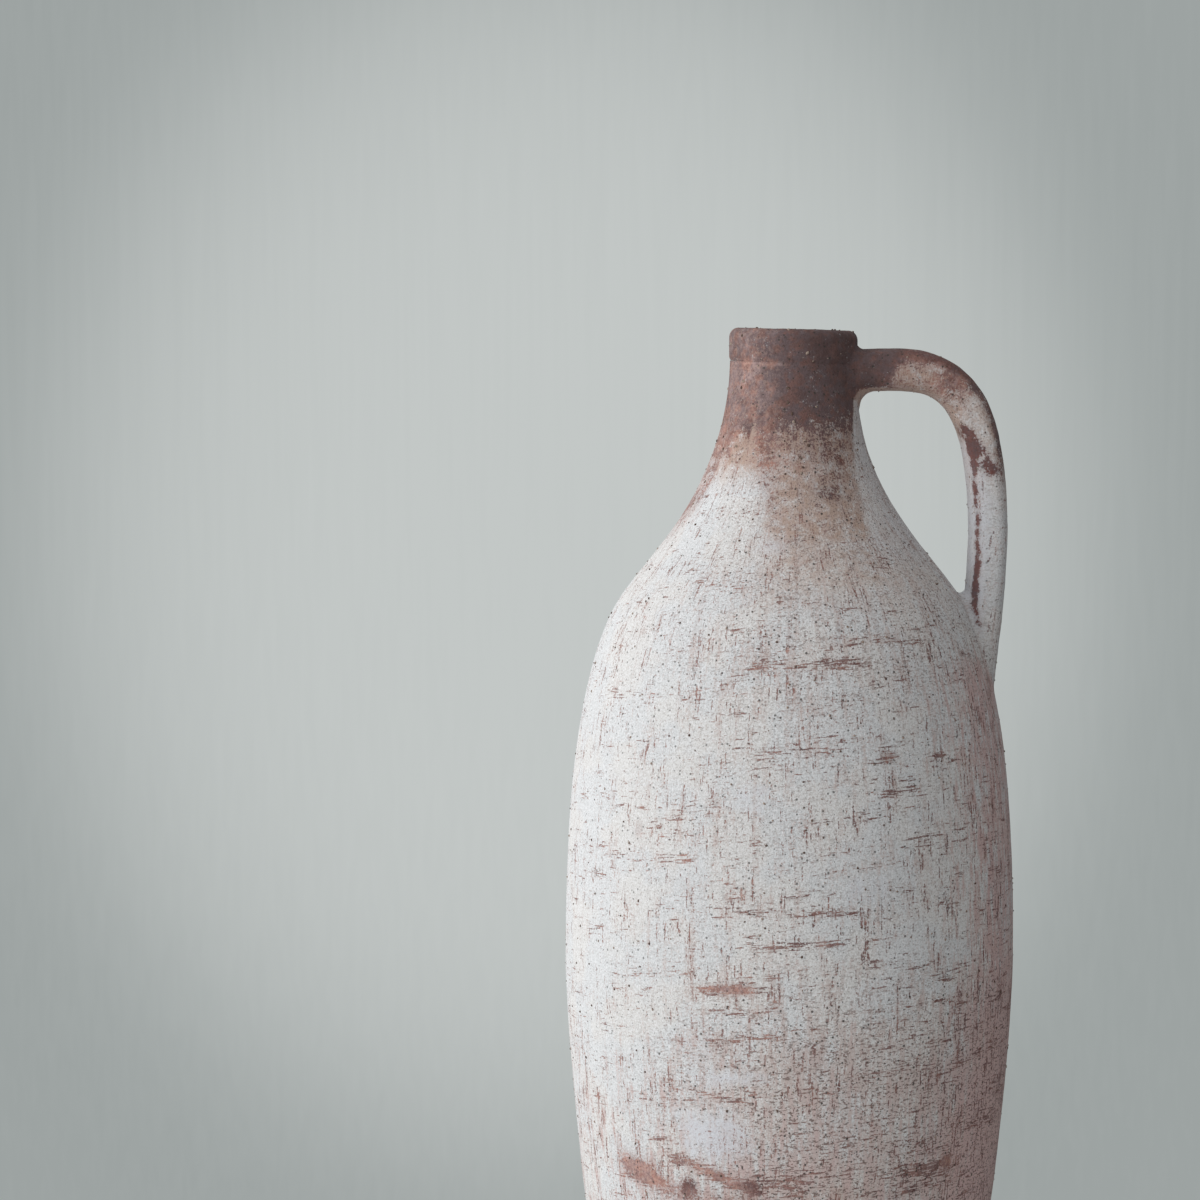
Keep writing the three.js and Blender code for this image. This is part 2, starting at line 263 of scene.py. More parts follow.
def inner_ring(height, depth=WALL):
    """Points of a circle a depth inside the wall, square to the outside at a height."""
    radius = outline("radius", height) - outline("out", height) * depth
    return ring(radius, height - outline("up", height) * depth)


def heights_between(low, high, step):
    """Evenly spaced heights, with one more close to each end, so that the shading runs on past a seam."""
    count = max(2, round((high - low) / step))
    evenly = np.linspace(low, high, count + 1)
    return np.concatenate([[low, low + SEAM_SUPPORT], evenly[1:-1], [high - SEAM_SUPPORT, high]])


def mesh_object(name, points, faces, outside):
    """Object with a mesh of these points and faces; outside marks the faces that show."""
    mesh = bpy.data.meshes.new(name)
    mesh.from_pydata(points.tolist(), [], faces)
    mesh.attributes.new("outside", "BOOLEAN", "FACE").data.foreach_set("value", outside)
    mesh.shade_smooth()
    mesh.set_sharp_from_angle(angle=SHARP_EDGE)
    return add_object(name, mesh)


def grid_faces(rows, columns, rows_closed):
    """Quads between the rows of a grid whose columns close on themselves."""
    last = rows if rows_closed else rows - 1
    row = np.arange(last)[:, None]
    column = np.arange(columns)[None, :]
    corners = ((0, 0), (0, 1), (1, 1), (1, 0))
    quads = [(row + up) % rows * columns + (column + on) % columns for up, on in corners]
    return np.stack(quads, axis=-1).reshape(-1, 4)


def turned_piece(name, outer_rings, inner_rings):
    """Closed shell of revolution: outside from the bottom up, inside from the top down."""
    rings = outer_rings + inner_rings
    faces = grid_faces(len(rings), ROUND_STEPS, True)
    outside = np.zeros(len(faces), bool)
    outside[: (len(outer_rings) - 1) * ROUND_STEPS] = True
    points = lean(np.array(rings).reshape(-1, 3))
    return mesh_object(name, points, faces.tolist(), outside)


def wall_piece(name, low, high, step):
    """A section of the wall between two seams."""
    outer = [skin_ring(height) for height in heights_between(low, high, step)]
    inner_count = max(2, round((high - low) / INSIDE_STEP))
    inner = [inner_ring(height) for height in np.linspace(high, low, inner_count + 1)]
    return turned_piece(name, outer, inner)


def arc(centre_radius, centre_height, radius, start, end, steps):
    """Profile points of an arc, with its angles in degrees."""
    turn = np.radians(np.linspace(start, end, steps + 1))
    return [(centre_radius + radius * math.cos(a), centre_height + radius * math.sin(a)) for a in turn]


def collar_piece():
    """The rim collar: worn crease, upright band, rounded lip and the mouth inside it."""
    outer = NECK_RADIUS + COLLAR_PROUD
    band_high = RIM_HEIGHT - LIP_OUTER
    steps = round((band_high - COLLAR_BASE) / COLLAR_STEP)
    profile = []
    for height in np.linspace(COLLAR_BASE, band_high, steps + 1)[:-1]:
        rise = height - COLLAR_BASE
        crease = CREASE_DEPTH * math.exp(-((rise / CREASE_RADIUS) ** 2))
        profile.append((NECK_RADIUS + COLLAR_PROUD * smooth(0, 2 * CREASE_RADIUS, rise) - crease, height))
    profile += arc(outer - LIP_OUTER, band_high, LIP_OUTER, 0, 90, 8)
    profile += arc(MOUTH_RADIUS + LIP_INNER, RIM_HEIGHT - LIP_INNER, LIP_INNER, 90, 180, 6)
    shown = []
    for radius, height in profile:
        plain = ring(radius, height)
        on_neck = smooth(COLLAR_BASE + COLLAR_BLEND, COLLAR_BASE, height)
        swell = on_neck * relief(plain, BODY_RELIEF) + (1 - on_neck) * relief(plain, COLLAR_RELIEF)
        shown.append(plain * (1 + swell[:, None] / np.linalg.norm(plain, axis=1)[:, None]))
    throat = [ring(MOUTH_RADIUS, height) for height in (RIM_HEIGHT - THROAT, COLLAR_BASE)]
    return turned_piece("collar_band", shown, throat)


def floor_piece():
    """The floor slab with its turned foot ring; a small cap closes each side at the axis."""
    recess = FOOT_RADIUS - FOOT_RING
    under = [
        (AXIS_CAP, FOOT_RECESS),
        (recess * 0.5, FOOT_RECESS),
        (recess - FOOT_RECESS - 0.6 * MM, FOOT_RECESS),
        (recess - FOOT_RECESS + 0.5 * MM, FOOT_RECESS - 0.5 * MM),
        (recess - 0.4 * MM, 0.3 * MM),
        (recess + 0.4 * MM, 0),
        (FOOT_RADIUS - FOOT_BEVEL, 0),
    ]
    under += arc(FOOT_RADIUS - FOOT_BEVEL, FOOT_BEVEL, FOOT_BEVEL, -60, -20, 2)
    side = [skin_ring(height) for height in heights_between(FOOT_BEVEL, FLOOR, SKIN_STEP)]
    rings = [ring(*corner) for corner in under] + side
    rings += [inner_ring(FLOOR), ring(recess * 0.5, FLOOR), ring(AXIS_CAP, FLOOR)]
    points = np.array(rings).reshape(-1, 3)
    faces = grid_faces(len(rings), ROUND_STEPS, False).tolist()
    faces.append(list(range(ROUND_STEPS))[::-1])
    top = (len(rings) - 1) * ROUND_STEPS
    faces.append(list(range(top, top + ROUND_STEPS)))
    outside = np.zeros(len(faces), bool)
    outside[(len(under) - 1) * ROUND_STEPS : (len(under) + len(side) - 1) * ROUND_STEPS] = True
    return mesh_object("foot_and_floor", points, faces, outside)


# Handle: a strap swept along its centreline

def handle_line():
    """Points along the centreline, the share of its length at each, and its length."""
    root = np.array([outline("radius", HANDLE_TOP) - ROOT_SINK, 0, HANDLE_TOP])
    foot = np.array([outline("radius", HANDLE_FOOT) - FOOT_SINK, 0, HANDLE_FOOT])
    grip_run = GRIP_TOP - HANDLE_FOOT
    bend = [
        root,
        (root[0] + (HANDLE_REACH - root[0]) * TOP_TENSION, 0, HANDLE_TOP),
        (HANDLE_REACH, 0, GRIP_TOP + (HANDLE_TOP - GRIP_TOP) * BEND_TENSION),
        (HANDLE_REACH, 0, GRIP_TOP),
    ]
    grip = [
        (HANDLE_REACH, 0, GRIP_TOP),
        (HANDLE_REACH, 0, GRIP_TOP - GRIP_TENSION * grip_run),
        (
            foot[0] + HANDLE_FOOT_LEAN * FOOT_ROOT_TENSION * grip_run,
            0,
            HANDLE_FOOT + FOOT_ROOT_TENSION * grip_run,
        ),
        foot,
    ]
    run = np.linspace(root - [ROOT_RUN, 0, 0], root, ROOT_STEPS)[:-1]
    line = np.vstack([run, bezier(bend), bezier(grip)[1:]])
    length = run_along(line)
    return line, length / length[-1], length[-1]


LINE, LINE_SHARES, LINE_LENGTH = handle_line()


def strap_turns():
    """Angles round the strap, from the side that faces the gap, in radians."""
    return np.arange(STRAP_STEPS) / STRAP_STEPS * TAU


def on_line(values, shares):
    """Values kept along the centreline, read at shares of its length."""
    return np.stack([np.interp(shares, LINE_SHARES, values[:, axis]) for axis in range(3)], axis=1)


def squared(wave):
    """A sine or cosine drawn towards the sides of a square."""
    return np.sign(wave) * np.abs(wave) ** (2 / SQUARENESS)


def strap_grid(shares):
    """Points of the strap's skin and their outward directions, ring by ring."""
    place = on_line(LINE, shares)
    along = on_line(np.gradient(LINE, LINE_SHARES, axis=0), shares)
    along /= np.linalg.norm(along, axis=1)[:, None]
    inwards = np.stack([along[:, 2], np.zeros(len(shares)), -along[:, 0]], axis=1)
    to_grip = smooth(0, GRIP_SHARE, shares)
    to_foot = smooth(GRIP_SHARE, 1, shares)
    half_thick = (HANDLE_THICKNESS + (GRIP_THICKNESS - HANDLE_THICKNESS) * to_grip) / 2
    half_wide = (HANDLE_WIDTH + (HANDLE_FOOT_WIDTH - HANDLE_WIDTH) * to_foot) / 2
    turn = strap_turns()
    thick = squared(np.cos(turn))[None, :] * half_thick[:, None]
    wide = squared(np.sin(turn))[None, :] * half_wide[:, None]
    side = np.array([0, 1, 0])
    points = place[:, None, :] + inwards[:, None, :] * thick[..., None] + side * wide[..., None]
    outwards = inwards[:, None, :] * np.cos(turn)[None, :, None] + side * np.sin(turn)[None, :, None]
    return points, outwards


def off_body(points):
    """How far each point stands clear of the body, and the direction straight out of the body there."""
    share = smooth(NECK_SEAM, COLLAR_BASE, points[..., 2])
    across = points[..., 0] - RIM_SHIFT * share
    height = points[..., 2] + RIM_TILT * across * share
    out = outline("out", height)
    off_axis = np.hypot(across, points[..., 1])
    level = out / off_axis
    normal = np.stack([across * level, points[..., 1] * level, outline("up", height)], axis=-1)
    return (off_axis - outline("radius", height)) * out, normal


def corner_filled(points, outwards, off_strap, radius):
    """Where clay fills the corner between strap and body, hollowed by a round that touches both."""
    clear, normal = off_body(points)
    facing = (outwards * normal).sum(-1)
    from_strap = radius - off_strap
    from_body = radius - clear
    between = (from_strap > from_body * facing) & (from_body > from_strap * facing)
    apart = from_strap**2 + from_body**2 - 2 * from_strap * from_body * facing
    hollowed = between & (apart > radius**2 * (1 - facing**2))
    return (off_strap < radius * (1 - facing)) & ((clear < -LUTE_BURIED) | hollowed)


def lute_swell(points, outwards, radii):
    """How far the clay in the corner stands off the strap."""
    flank, outer, gap = radii
    facing_gap = np.cos(strap_turns())
    radius = flank + (np.where(facing_gap > 0, gap, outer) - flank) * np.abs(facing_gap)
    low = np.zeros(points.shape[:2])
    high = low + 2 * radius
    for _ in range(HALVINGS):
        middle = (low + high) / 2
        filled = corner_filled(points + outwards * middle[..., None], outwards, middle, radius)
        low = np.where(filled, middle, low)
        high = np.where(filled, high, middle)
    return low


def sunk(rows):
    """The rows with no point deeper in the body than half its wall."""
    clear, normal = off_body(rows)
    return rows + normal * np.maximum(-WALL / 2 - clear, 0)[..., None]


def swept_piece(name, rows):
    """Closed mesh through rows of points, with a fan at each end."""
    count, steps = rows.shape[:2]
    points = np.vstack([rows.reshape(-1, 3), rows[0].mean(0)[None], rows[-1].mean(0)[None]])
    column = np.arange(steps)
    following = (column + 1) % steps
    quads = grid_faces(count, steps, False)
    tip = np.full(steps, count * steps)
    last_row = (count - 1) * steps
    first_fan = np.stack([tip, following, column], axis=1)
    last_fan = np.stack([tip + 1, last_row + column, last_row + following], axis=1)
    faces = quads.tolist() + first_fan.tolist() + last_fan.tolist()
    outside = np.zeros(len(faces), bool)
    outside[: len(quads)] = True
    return mesh_object(name, points, faces, outside)


def strap_piece():
    """The pulled strap from the neck to the shoulder."""
    points, outwards = strap_grid(np.linspace(0, 1, STRAP_RINGS + 1))
    return swept_piece("strap_handle", sunk(points + outwards * relief(points, STRAP_RELIEF)[..., None]))


def lute_piece(name, start, end, radii):
    """Clay worked into the corner round one root; where it has run out it lies just under the strap."""
    count = round(abs(end - start) * STRAP_RINGS) + 1
    points, outwards = strap_grid(np.linspace(start, end, count))
    swell = lute_swell(points, outwards, radii)
    swell = swell - LUTE_BURIED * smooth(2 * LUTE_BURIED, 0, swell)
    rows = sunk(points + outwards * swell[..., None])
    clear, normal = off_body(rows)
    on_body = smooth(radii[0] / 2, 0, clear)[..., None]
    skin = rows - normal * clear[..., None]
    rows = rows + on_body * normal * relief(skin, BODY_RELIEF)[..., None]
    rows = rows + (1 - on_body) * outwards * relief(points, STRAP_RELIEF)[..., None]
    return swept_piece(name, rows)


# Where the slip lies, is rubbed thin or is missing: soft masks kept on the points of each mesh.
# A mark is its azimuth in degrees from the front, its height, half length and half height in
# millimetres, its slope and its strength

# Strokes that scrubbed the slip thin
SCRUBBED = [
    (-17.4, 222.3, 19, 2, 0.03, 1),
    (-17, 221.8, 11, 1.7, 0, 0.9),
    (-13.8, 202.2, 19, 1.9, 0.12, 1.2),
    (-22.4, 178.5, 23, 1.7, -0.2, 1.1),
    (-16, 213.8, 21, 1.3, 0.06, 0.7),
    (-10, 190.5, 20, 1.3, 0.05, 0.55),
    (4, 352.8, 32, 2.8, 0, 1.05),
    (-1.1, 319, 24, 3.6, 0.03, 0.8),
    (22.8, 315.8, 5, 2, 0, 1.3),
    (36.5, 314.5, 12, 1.1, 0, 0.9),
    (32.8, 360.5, 13, 1.1, -0.12, 0.8),
    (18, 361, 8, 1, 0, 0.7),
    (-4, 254, 32, 2.3, 0.02, 0.9),
    (-7, 240.5, 20, 1.5, 0.03, 0.85),
    (9, 241.5, 7, 1.4, 0, 0.9),
    (10, 296.5, 9, 1.1, 0.05, 0.8),
    (22, 301, 8, 1.2, 0, 0.7),
    (-29, 291, 12, 1.1, 0.12, 0.6),
    (-36, 157, 9, 1.2, 0.03, 0.8),
    (-25.5, 147, 17, 2.4, -0.28, 1.5),
    (-19, 142.5, 15, 1.6, -0.3, 1.5),
    (-42, 137, 22, 3.2, -0.15, 1.3),
    (-6, 142, 16, 6.5, 0, 1.1),
    (29, 202, 10, 1, 0.18, 0.8),
    (36, 145, 12, 2.6, 0.1, 0.9),
    (47, 187, 11, 2, 0.1, 0.7),
    (112, 268, 22, 2.4, 0.06, 0.8),
    (138, 214, 18, 1.8, -0.08, 0.9),
    (168, 331, 26, 2.6, 0.03, 0.8),
    (-154, 187, 24, 2.6, 0.08, 0.9),
    (-128, 290, 20, 2, 0.1, 0.8),
    (-102, 228, 22, 1.8, 0.06, 0.8),
    (-171, 96, 30, 4, -0.08, 1),
    (84, 108, 26, 3.2, 0.06, 0.9),
]

# Places where the clay shows bare
BARE = [
    (-46.3, 142.5, 12, 5.5, -0.1, 1.1),
    (-25.5, 147, 15, 1.7, -0.28, 0.65),
    (-19, 142.5, 13, 1.3, -0.3, 0.6),
    (-38, 138.5, 12, 2.2, -0.1, 0.6),
    (-24, 134, 25, 4.5, 0, 0.5),
    (-2, 119, 8, 6, 0, 0.5),
    (-29.5, 139.4, 3, 4.4, 0, 0.8),
    (-12.4, 141.5, 3, 4.2, 0, 0.8),
    (-17, 222.2, 11, 2.3, 0, 0.95),
    (-44, 283.5, 2.2, 3.4, 0, 0.45),
    (42.5, 146.5, 3.4, 3.6, 0, 1.1),
    (22.8, 315.8, 4, 1.6, 0, 0.7),
    (20.4, 419.5, 7, 4, 0, 0.5),
    (2, 433, 11, 5, 0, 0.25),
    (30, 432, 7, 12, 0, 0.3),
    (-1, 385, 0.7, 13, 0, 0.5),
    (-3.5, 360, 0.7, 16, 0, 0.45),
    (12, 371, 0.7, 12, 0, 0.45),
    (24, 362, 0.7, 12, 0, 0.4),
    (-33, 372, 0.7, 9, 0, 0.35),
    (-161, 182, 9, 4.4, 0.05, 0.7),
    (151, 116, 8, 5, 0, 0.7),
    (-86, 128, 7, 6, 0, 0.5),
]

# Slip dragged up over the bare neck
DRAGGED = [
    (-44.5, 437, 6, 9, 0, 0.25),
    (-34, 445, 1.6, 6, 0, 0.35),
    (-62, 431, 3, 12, 0, 0.4),
    (-76, 424, 3, 10, 0, 0.35),
    (2, 440, 15, 1.8, 0, 0.5),
    (-14, 436, 5, 4, 0, 0.3),
    (150, 440, 12, 6, 0, 0.4),
    (-150, 438, 10, 5, 0, 0.4),
]

# Spots where the kiln darkened the bare clay
CHARRED = [
    (-29.5, 139.4, 4, 4.4, 0, 0.5),
    (-12.4, 141.5, 4, 4.2, 0, 0.5),
    (-42, 445, 3, 5, 0, 0.4),
    (20.4, 419.5, 8, 4.5, 0, 0.5),
    (30, 432, 7, 12, 0, 0.4),
]

# Thick smooth slip, bluish and with no pits
THICK = [
    (-22.5, 161, 17, 13, 0, 0.85),
    (-16, 186, 15, 4, 0.1, 0.6),
    (-27, 197, 13, 13, 0, 0.3),
    (-12, 398, 8, 5, 0, 0.5),
    (-12, 300, 8, 7, 0, 0.5),
    (16, 262, 12, 9, 0, 0.4),
    (128, 240, 16, 12, 0, 0.8),
    (-140, 232, 18, 10, 0, 0.9),
]

# Marks add up to this much at most. Stray strokes are scattered by chance, with a fixed seed
MOST_MARKED = 1.3
STRAY_STROKES = 70
STRAY_SEED = 17

# Height of the slip's upper edge round the neck, by azimuth in degrees
SLIP_EDGE = {
    -180: 420, -140: 430, -112: 412, -90: 404, -76: 408, -67: 416, -60: 426, -48: 437, -30: 437, -19: 421,
    -8: 408, 4: 402, 60: 402, 90: 412, 120: 416, 150: 428, 180: 420,
}
SLIP_EDGE_FADE = 16

# Cover of the thin slip on the neck, and the wash's side in degrees, by height
THIN_COVER = {398: 0.9, 415: 0.85, 432: 0.7, 441: 0.54, 450: 0.2, 459: 0, 468: 0}
WASH_SIDE = {400: 36, 412: 40, 423: 44, 432: 48, 441: 52.5, 449: 59, 458: 65}

# How dark the bare clay of the neck is fired, by azimuth
FIRED = {
    -180: 0.8, -110: 0.6, -62: 0.55, -36: 0.46, -16: 0.8, 0: 1.2, 40: 1.35, 100: 1.2, 150: 1, 180: 0.8,
}

# Stretches of the body where the finish changes: where each starts, is full, fades and has ended,
# in degrees round from the front or in millimetres up
TAN_SIDE = (-25, -4, 54, 72)
TAN_FOOT_SIDE = (-24, -10, 10, 30)
RUBBED_SIDE = (-15, 40, 110, 150)
STREAKED_SIDE = (26, 66, 110, 150)
THINNED_SIDE = (-60, 0, 140, 175)
FIRED_SIDE = (-30, 30, 140, 175)
WASH_HEIGHTS = (380, 400, 458, 466)
RED_HEIGHTS = (405, 425, 440, 454)

# The pale pink line below the collar's crease, in millimetres: partly worn clay on the ledge, and partly
# a painted highlight where light catches the ledge
HIGHLIGHT_BELOW = 0.7
HIGHLIGHT_HALF = 0.55

# Places on the bend where the tan slip is worn off: out from the axis, height, spread and strength
BEND_BARE = [
    (66.7, 465, 7, 5.5, 0.42),
    (74, 457, 4, 5, 0.3),
    (47.5, 476, 5, 2.5, 0.45),
    (56, 474, 6, 2, 0.3),
    (40.5, 463, 3, 4, 0.3),
]

# The handle's dark root ends at this place, on a slant
ROOT_END = (35.5, 459.3)
ROOT_SLANT = 0.576

# The dark wedge where the bend meets the grip: its start, direction, run and half width
WEDGE_START = (69.7, 446.6)
WEDGE_ALONG = (0.6, -0.8)
WEDGE_RUN = (-3, 3, 20, 30)
WEDGE_HALF = 3.2

# Dark worn edges down the grip, in degrees round the strap. Near its foot the front one is a line
# out from the axis, by height
FRONT_ARRIS = 311
BACK_ARRIS = 50
LINE_ACROSS = {361: 79.4, 370: 77.1, 380: 77.5, 391: 78.8}
LINE_HALF = 1.3
ARRIS_TOP = (448, 436)

# Noise that makes the worn places ragged, with its size
RAGGED = [(3.4 * MM, 1)]

# Radius at which brush marks are laid out, and how far the rows of marks rise and fall round the body
MARK_RADIUS = 85
ROW_SWING = 9
ROW_TURN = math.radians(40)

# The same on the strap: half its thickness and width, and where its length starts, clear of the wall
STRAP_ACROSS = (8, 14)
STRAP_START = 500
LUTE_BLEND = 1.2 * MM


def unit(values):
    """Values held between 0 and 1."""
    return np.clip(values, 0, 1)


def span(limits, values):
    """1 inside four limits, with a smooth rise over the first two and a smooth fall over the last two."""
    start, full, fading, end = limits
    return smooth(start, full, values) * smooth(end, fading, values)


def near(place, reach, values):
    """A soft ridge: 1 at a place, and next to nothing from two reaches off it."""
    return np.exp(-(((values - place) / reach) ** 2))


def by(table, place):
    """A value read off a small table, with straight steps between its entries."""
    return np.interp(place, list(table), list(table.values()))


def covered(mark, azimuth, height, radius):
    """How much of a mark lies at each place."""
    at, level, reach, rise, slope, strength = mark
    across = np.radians((azimuth - at + 180) % 360 - 180) * radius
    above = height - level - slope * across
    return strength * np.exp(-((across / reach) ** 4) - (above / rise) ** 2)


def total(marks, *place):
    """The marks together."""
    return np.minimum(sum(covered(mark, *place) for mark in marks), MOST_MARKED)


def stray_strokes():
    """Short strokes scattered all round the body, always the same ones."""
    chance = np.random.default_rng(STRAY_SEED)
    return [
        (
            chance.uniform(-180, 180),
            chance.uniform(14, 398),
            chance.uniform(3, 15),
            chance.uniform(0.9, 1.7),
            chance.normal(0.03, 0.05),
            chance.uniform(0.2, 0.6),
        )
        for _ in range(STRAY_STROKES)
    ]


def fresh_slip(azimuth, height, radius):
    """The slip before it was worn: its cover, its staining, and the pale wash under the handle."""
    edge = by(SLIP_EDGE, azimuth)
    cover = smooth(edge + SLIP_EDGE_FADE, edge - SLIP_EDGE_FADE, height)
    cover = cover + total(DRAGGED, azimuth, height, radius)

    # Thin tan slip over the front right of the neck, which gives out upwards
    tan = span(TAN_SIDE, azimuth)
    thin = by(THIN_COVER, height)
    cover = unit(np.maximum(cover, (0.5 + 0.5 * tan) * thin * smooth(400, 425, height)))
    cover = np.maximum(cover, tan * thin)
    stained = tan * (0.6 * smooth(366, 392, height) + 0.5 * smooth(398, 406, height))
    stained = np.maximum(stained, 1.7 * smooth(418, 444, height))
    stained = stained + 0.5 * smooth(148, 136, height) * span(TAN_FOOT_SIDE, azimuth)

    # The wash has a sharp side towards the front
    side = by(WASH_SIDE, height)
    wash = span((side - 3, side + 3, 174 - side, 186 - side), azimuth) * span(WASH_HEIGHTS, height)
    return np.maximum(cover, 0.92 * wash), stained * (1 - wash) + 0.1 * wash, wash


def fired(azimuth, height, radius, bare):
    """How dark the clay is fired: darkest on the right of the neck, with a painted highlight just below
    the collar's crease.
    """
    charred = 0.42 + 0.25 * span(FIRED_SIDE, azimuth)
    charred = charred + (by(FIRED, azimuth) - charred) * smooth(428, 458, height)
    charred = charred * (1 - 0.5 * bare * smooth(420, 400, height)) + 0.12 * smooth(472, 476, height)
    # Just below the collar's crease the clay is painted paler pink: worn clay, with a painted highlight
    # where light catches the ledge
    below = height + RIM_TILT * radius * np.sin(np.radians(azimuth)) - COLLAR_BASE / MM + HIGHLIGHT_BELOW
    return charred + total(CHARRED, azimuth, height, radius) - 0.24 * near(0, HIGHLIGHT_HALF, below)


def body_masks(azimuth, height, radius):
    """All the masks at places on the body, in degrees and millimetres."""
    cover, stained, wash = fresh_slip(azimuth, height, radius)
    bare = unit(total(BARE, azimuth, height, radius))
    rubbed = total(SCRUBBED + stray_strokes(), azimuth, height, radius)

    # Streaks run denser on the side by the handle and low on the left
    streaked = 0.2 + 0.75 * span(STREAKED_SIDE, azimuth) * smooth(366, 338, height)
    streaked = streaked + 0.3 * smooth(230, 150, height) + 0.3 * smooth(-120, -150, azimuth)

    # The slip is thinner over the front and the right, most of all on the shoulder and low down
    thinned = 0.45 + 0.7 * np.maximum(smooth(325, 350, height), smooth(250, 180, height))
    thinned = thinned * span(THINNED_SIDE, azimuth)
    thinned = thinned * (1 + 0.75 * smooth(240, 190, height)) + 0.1 * smooth(190, 130, height)
    return {
        "cover": cover * (1 - bare),
        "rubbed": rubbed + 0.3 * span(RUBBED_SIDE, azimuth) * smooth(260, 200, height),
        "streaked": streaked,
        "thinned": thinned,
        # Under the handle the wash is also cleared and whitened like thick slip: painted light, standing
        # in for the light that reaches it from the right
        "thick": total(THICK, azimuth, height, radius) + 0.3 * wash,
        "stained": stained,
        "charred": fired(azimuth, height, radius, bare),
        "reddened": 0.15 + 0.35 * span(RED_HEIGHTS, height) + 0.45 * smooth(420, 400, height),
    }


def worn_arrises(across, height, turn, broken):
    """The dark worn edges down the grip: one at the back, and one in front that runs on near the foot."""
    front = near(math.radians(FRONT_ARRIS), 0.25, turn)
    back = near(math.radians(BACK_ARRIS), 0.21, turn)
    low_line = near(by(LINE_ACROSS, height), LINE_HALF, across) * smooth(0.1, -0.1, np.sin(turn))
    by_place = smooth(394, 388, height)
    arris = front * (1 - by_place) + low_line * by_place + 0.7 * back
    return unit(arris * smooth(*ARRIS_TOP, height) * smooth(360, 365, height) * (1 + broken))


def worn_wedge(across, height, turn, broken):
    """The dark wedge across the front of the strap."""
    right = across - WEDGE_START[0]
    up = height - WEDGE_START[1]
    along = WEDGE_ALONG[0] * right + WEDGE_ALONG[1] * up
    off = WEDGE_ALONG[0] * up - WEDGE_ALONG[1] * right
    wedge = near(0, WEDGE_HALF, off) * span(WEDGE_RUN, along) * smooth(0.2, -0.2, np.sin(turn))
    return unit(wedge * (1.1 + 1.2 * broken))


def strap_masks(points, turn):
    """The same masks on the handle, by place and by angle round the strap."""
    across = points[:, 0] / MM
    height = points[:, 2] / MM
    facing_out = 0.5 - 0.5 * np.cos(turn)
    low = smooth(*ARRIS_TOP, height)
    broken = relief(points, RAGGED)
    wedge = worn_wedge(across, height, turn, broken)
    arris = worn_arrises(across, height, turn, broken)

    # Dark clay at the root as far as a slanting edge, with a pale wash along the underside
    past_root = across - ROOT_END[0] - ROOT_SLANT * (height - ROOT_END[1])
    underside = smooth(0.2, 0.08, facing_out) * smooth(23, 28, across)
    root = smooth(5, -5, past_root) * smooth(436, 446, height) * (1 - 0.9 * underside)

    # Worn tan slip over the bend, whiter where the strap turns down, dark along the outer side
    turned_down = smooth(66, 80, across + 0.4 * (460 - height))
    bend = smooth(420, 446, height) * (1 - turned_down)
    outer_strip = smooth(0.6, 0.86, facing_out) * smooth(410, 440, height)
    cover = 0.88 - 0.32 * bend - 0.66 * outer_strip + 0.3 * underside
    for place_across, place_height, reach, rise, strength in BEND_BARE:
        cover = cover - strength * near(place_across, reach, across) * near(place_height, rise, height)
    stained = 1.3 * bend + 0.5 * turned_down * smooth(405, 440, height) + 0.5 * outer_strip
    stained = stained + 0.5 * underside * smooth(400, 430, height)

    # Painted shade: grey darkening in the corner where the strap meets the shoulder, where shade falls
    corner = smooth(394, 382, height) * smooth(0.4, 0.1, facing_out)
    cover = cover - 0.35 * corner
    # The corner's painted shade also darkens the clay that shows there
    charred = 0.5 + 0.5 * corner + 0.9 * root + 0.45 * outer_strip + 0.8 * wedge + 0.4 * arris
    return {
        "cover": unit(cover - root - 0.8 * wedge - 0.8 * arris),
        "rubbed": 0.25 * bend - 0.25 * low,
        "streaked": 0.1 + 0.3 * bend,
        "thinned": 0.5 + 0.3 * bend,
        "thick": 0.6 * low * smooth(0.7, 0.3, facing_out),
        "stained": stained,
        "charred": np.clip(charred, 0, 1.4),
        "reddened": unit(0.15 + 0.4 * bend * (1 - root) + wedge + arris),
    }


def keep_masks(piece, masks, laid_out):
    """Writes the masks and the laid-out place of each point to the mesh."""
    for name, values in masks.items():
        attribute = piece.data.attributes.new(name, "FLOAT", "POINT")
        attribute.data.foreach_set("value", np.ascontiguousarray(values, np.float32))
    attribute = piece.data.attributes.new("laid_out", "FLOAT_VECTOR", "POINT")
    attribute.data.foreach_set("vector", np.ascontiguousarray(laid_out, np.float32).ravel())


def mesh_points(piece):
    """The mesh's points as an array."""
    points = np.empty(len(piece.data.vertices) * 3, np.float32)
    piece.data.vertices.foreach_get("co", points)
    return points.reshape(-1, 3).astype(float)


def round_axis(points):
    """Azimuth in radians from the front, height and radius in millimetres."""
    azimuth = np.arctan2(points[:, 0], -points[:, 1])
    return azimuth, points[:, 2] / MM, np.hypot(points[:, 0], points[:, 1]) / MM


def mask_body(piece):
    """Masks on a turned piece. They are laid out along the wall, in millimetres."""
    points = mesh_points(piece)
    turn, height, radius = round_axis(points)
    above = np.maximum(points[:, 2] - COLLAR_BASE, 0)
    along = (outline("length", points[:, 2]) + above) / MM - ROW_SWING * np.sin(turn + ROW_TURN)
    laid_out = np.stack([MARK_RADIUS * np.sin(turn), -MARK_RADIUS * np.cos(turn), along], axis=1)
    keep_masks(piece, body_masks(np.degrees(turn), height, radius), laid_out)


